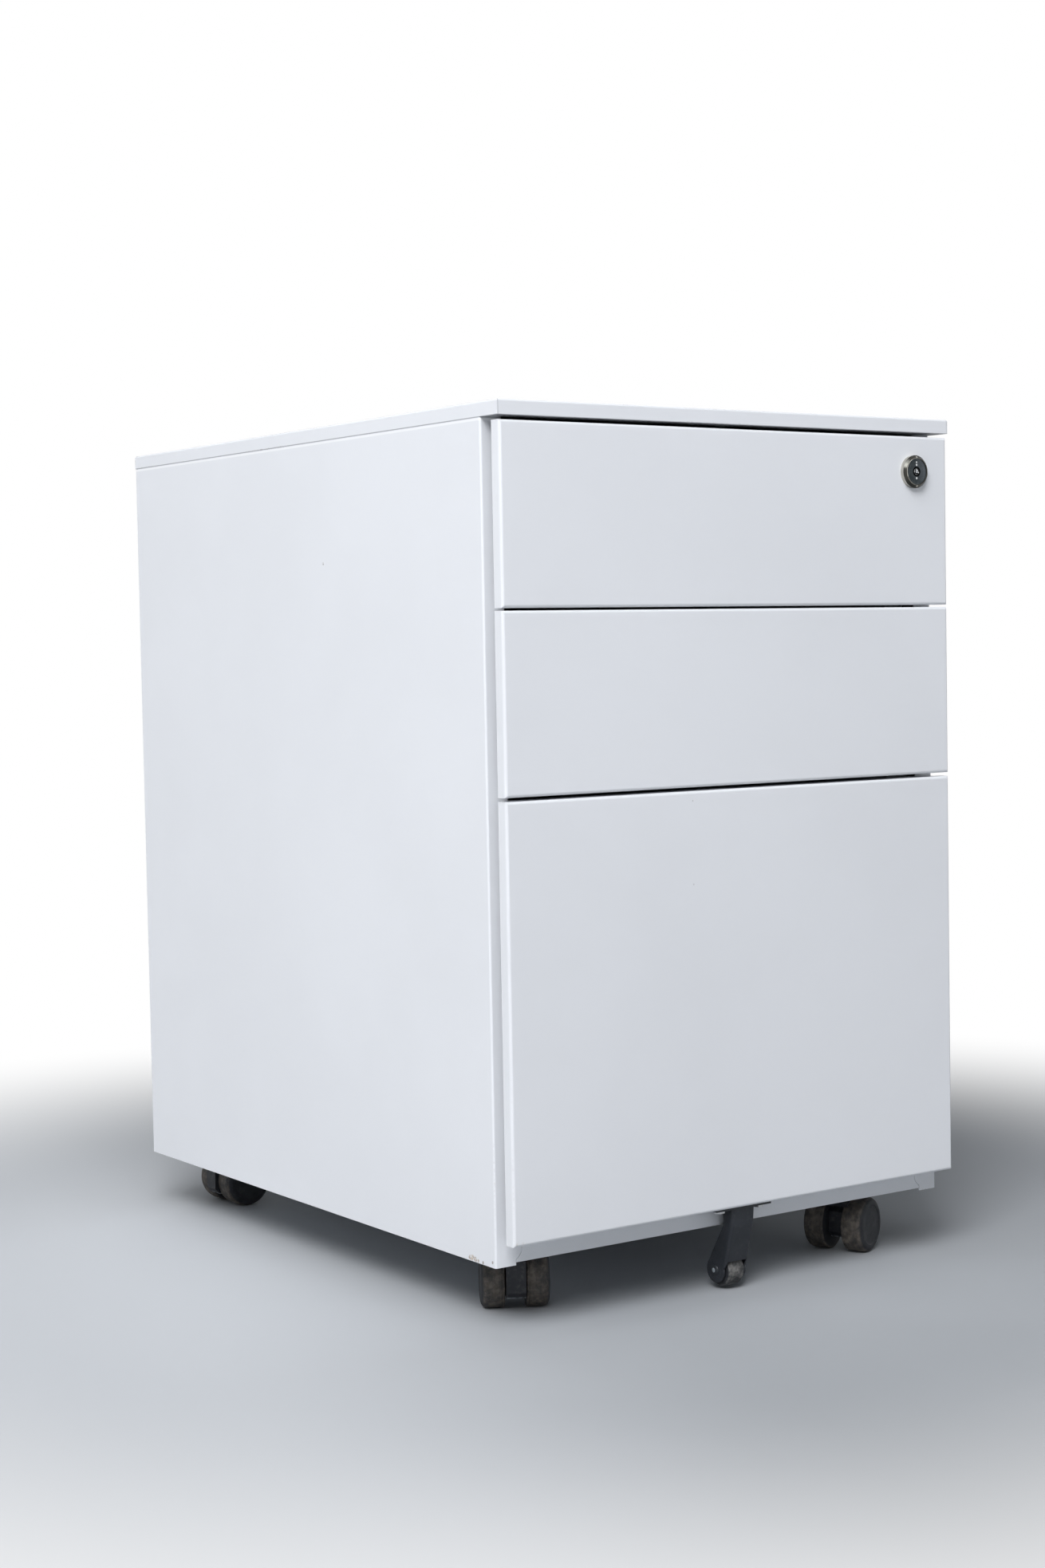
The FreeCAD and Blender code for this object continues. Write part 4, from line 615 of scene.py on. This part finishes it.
def fork_wheel_profile():
    """A roller with rounded edges on both sides."""
    tread, half, bore, edge = 11.5, 7.0, 2.56, 1.7
    return [(bore, -half), *arc((tread - edge, edge - half), (edge, edge), -90, 0),
            *arc((tread - edge, half - edge), (edge, edge), 0, 90), (bore, half)]


def rivet_profile():
    """A shank between two domed heads."""
    shank, head, seat, dome = 2.5, 3.8, 10.0, 1.5
    return [(0.0, -seat - dome), *arc((0.0, -seat), (head, dome), -90, 0, 8), (shank, -seat), (shank, seat),
            *arc((0.0, seat), (head, dome), 0, 90, 8), (0.0, seat + dome)]


# ------------------------------------------------------------------------------------ the cabinet

OUTER_SHEETS = ["side_panel_left", "side_panel_right", "top_panel", "back_panel", "base_panel", "front_bottom_rail",
                "drawer_front_top", "drawer_front_middle", "drawer_front_file"]
INNER_SHEETS = ["front_top_rail", "front_upright_left", "front_upright_right", "rear_upright_left",
                "rear_upright_right", "drawer_box_top", "drawer_box_middle", "drawer_box_file"]
SMALL_ZINC = ["lock_bar", "lock_cam", "lock_nut", "catch_stud_top", "catch_stud_middle", "catch_stud_file",
              "castor_screws", "fork_screws", "castor_plates"]


def seams_of(node, low, high):
    """Thin lines where sheets meet: painted shade in the gap, and a painted highlight on the fold beside it.

    Each is the axis it's measured on, the place on that axis, the half width, the strength and the colour.
    """
    if node == "top_panel":
        corner_inset = 0.9 * MILLI
        return [(X, low.x + corner_inset, 0.32 * MILLI, 0.42, GAP_SHADE_TONE),
                (X, high.x - corner_inset, 0.32 * MILLI, 0.42, GAP_SHADE_TONE),
                (Z, low.z, 0.5 * MILLI, 0.55, GAP_SHADE_TONE)]
    if node in ("side_panel_left", "side_panel_right"):
        fold_drop = 1.5 * MILLI
        return [(Z, high.z - fold_drop, 1.1 * MILLI, 0.85, FOLD_HIGHLIGHT_TONE), (Z, high.z, 0.5 * MILLI, 0.75, GAP_SHADE_TONE)]
    return []


def dress_body():
    """Paint the sheets, outside with their marks and with seam lines of painted shade and highlight, and plainer
    inside.
    """
    for node in OUTER_SHEETS:
        low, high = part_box(node)
        dress(node, enamel(f"{node}_enamel", low, high, WHITE, PAINT_MARKS, seams_of(node, low, high)))
    for node in INNER_SHEETS:
        low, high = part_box(node)
        dress(node, enamel(f"{node}_enamel", low, high, INNER_WHITE))


def dress_metal():
    """The slides, the bars, the fasteners and the lock."""
    rails, small = zinc("zinc_drawn", run=Y), zinc("zinc_small", run=Z)
    for node in NODES:
        if node.startswith("slide_"):
            dress(node, rails)
    for node in SMALL_ZINC:
        dress(node, small)
    for node in ("file_bar_left", "file_bar_right"):
        dress(node, zinc(f"{node}_aluminium", run=Y, colour=ALUMINIUM))
    low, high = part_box("lock_barrel")
    hub, inward = ((low.x + high.x) / 2, low.y, (low.z + high.z) / 2), (0, 1, 0)
    dress("lock_plug", lock_face("lock_face_dark", hub, inward))
    dress("lock_barrel", lock_housing("lock_housing_metal", hub, inward))


def dress_running_gear():
    """The castors and the anti-tilt fork, with turned wheels and a domed rivet in place of the plain ones."""
    hood_low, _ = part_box("castor_hood_front_left")
    hood = moulded_black("hood_black", edge_highlight_height=hood_low.z)
    pins = zinc("pin_zinc", run=Z)
    for corner in ("front_left", "front_right", "rear_left", "rear_right"):
        dress(f"castor_hood_{corner}", hood)
        dress(f"castor_axle_{corner}", pins)
        for side, hand in (("left", 1), ("right", -1)):
            node = f"castor_wheel_{corner}_{side}"
            joint = JOINTS[f"castor_wheel_spin_{corner}_{side}"]
            hub, axis = joint["pos_m"], joint["axis"]
            dusty = dusty_wheel(f"dusty_{corner}_{side}", hub, axis, hub[Z], BROWN_DUST)
            dress(node, dusty)
            turned(f"turned_{node}", node, dusty, castor_wheel_profile(hand), hub, axis)
    hub, axis = JOINTS["fork_wheel_spin"]["pos_m"], JOINTS["fork_wheel_spin"]["axis"]
    low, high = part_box("fork_wheel")
    dusty = dusty_wheel("dusty_fork_wheel", hub, axis, (high.z - low.z) / 2, GREY_DUST)
    dress("fork_wheel", dusty)
    turned("turned_fork_wheel", "fork_wheel", dusty, fork_wheel_profile(), hub, axis)
    rivet = rivet_paint("fork_rivet_paint", hub, axis)
    dress("fork_axle", rivet)
    turned("domed_fork_rivet", "fork_axle", rivet, rivet_profile(), hub, axis)
    dress("fork_bracket", black_enamel("fork_black"))
    dress("lock_bar_guides", moulded_black("guide_black", dust=0.1))


bpy.context.scene.view_settings.view_transform = "Standard"
make_camera()
make_floor()
make_lights()
dress_body()
dress_metal()
dress_running_gear()
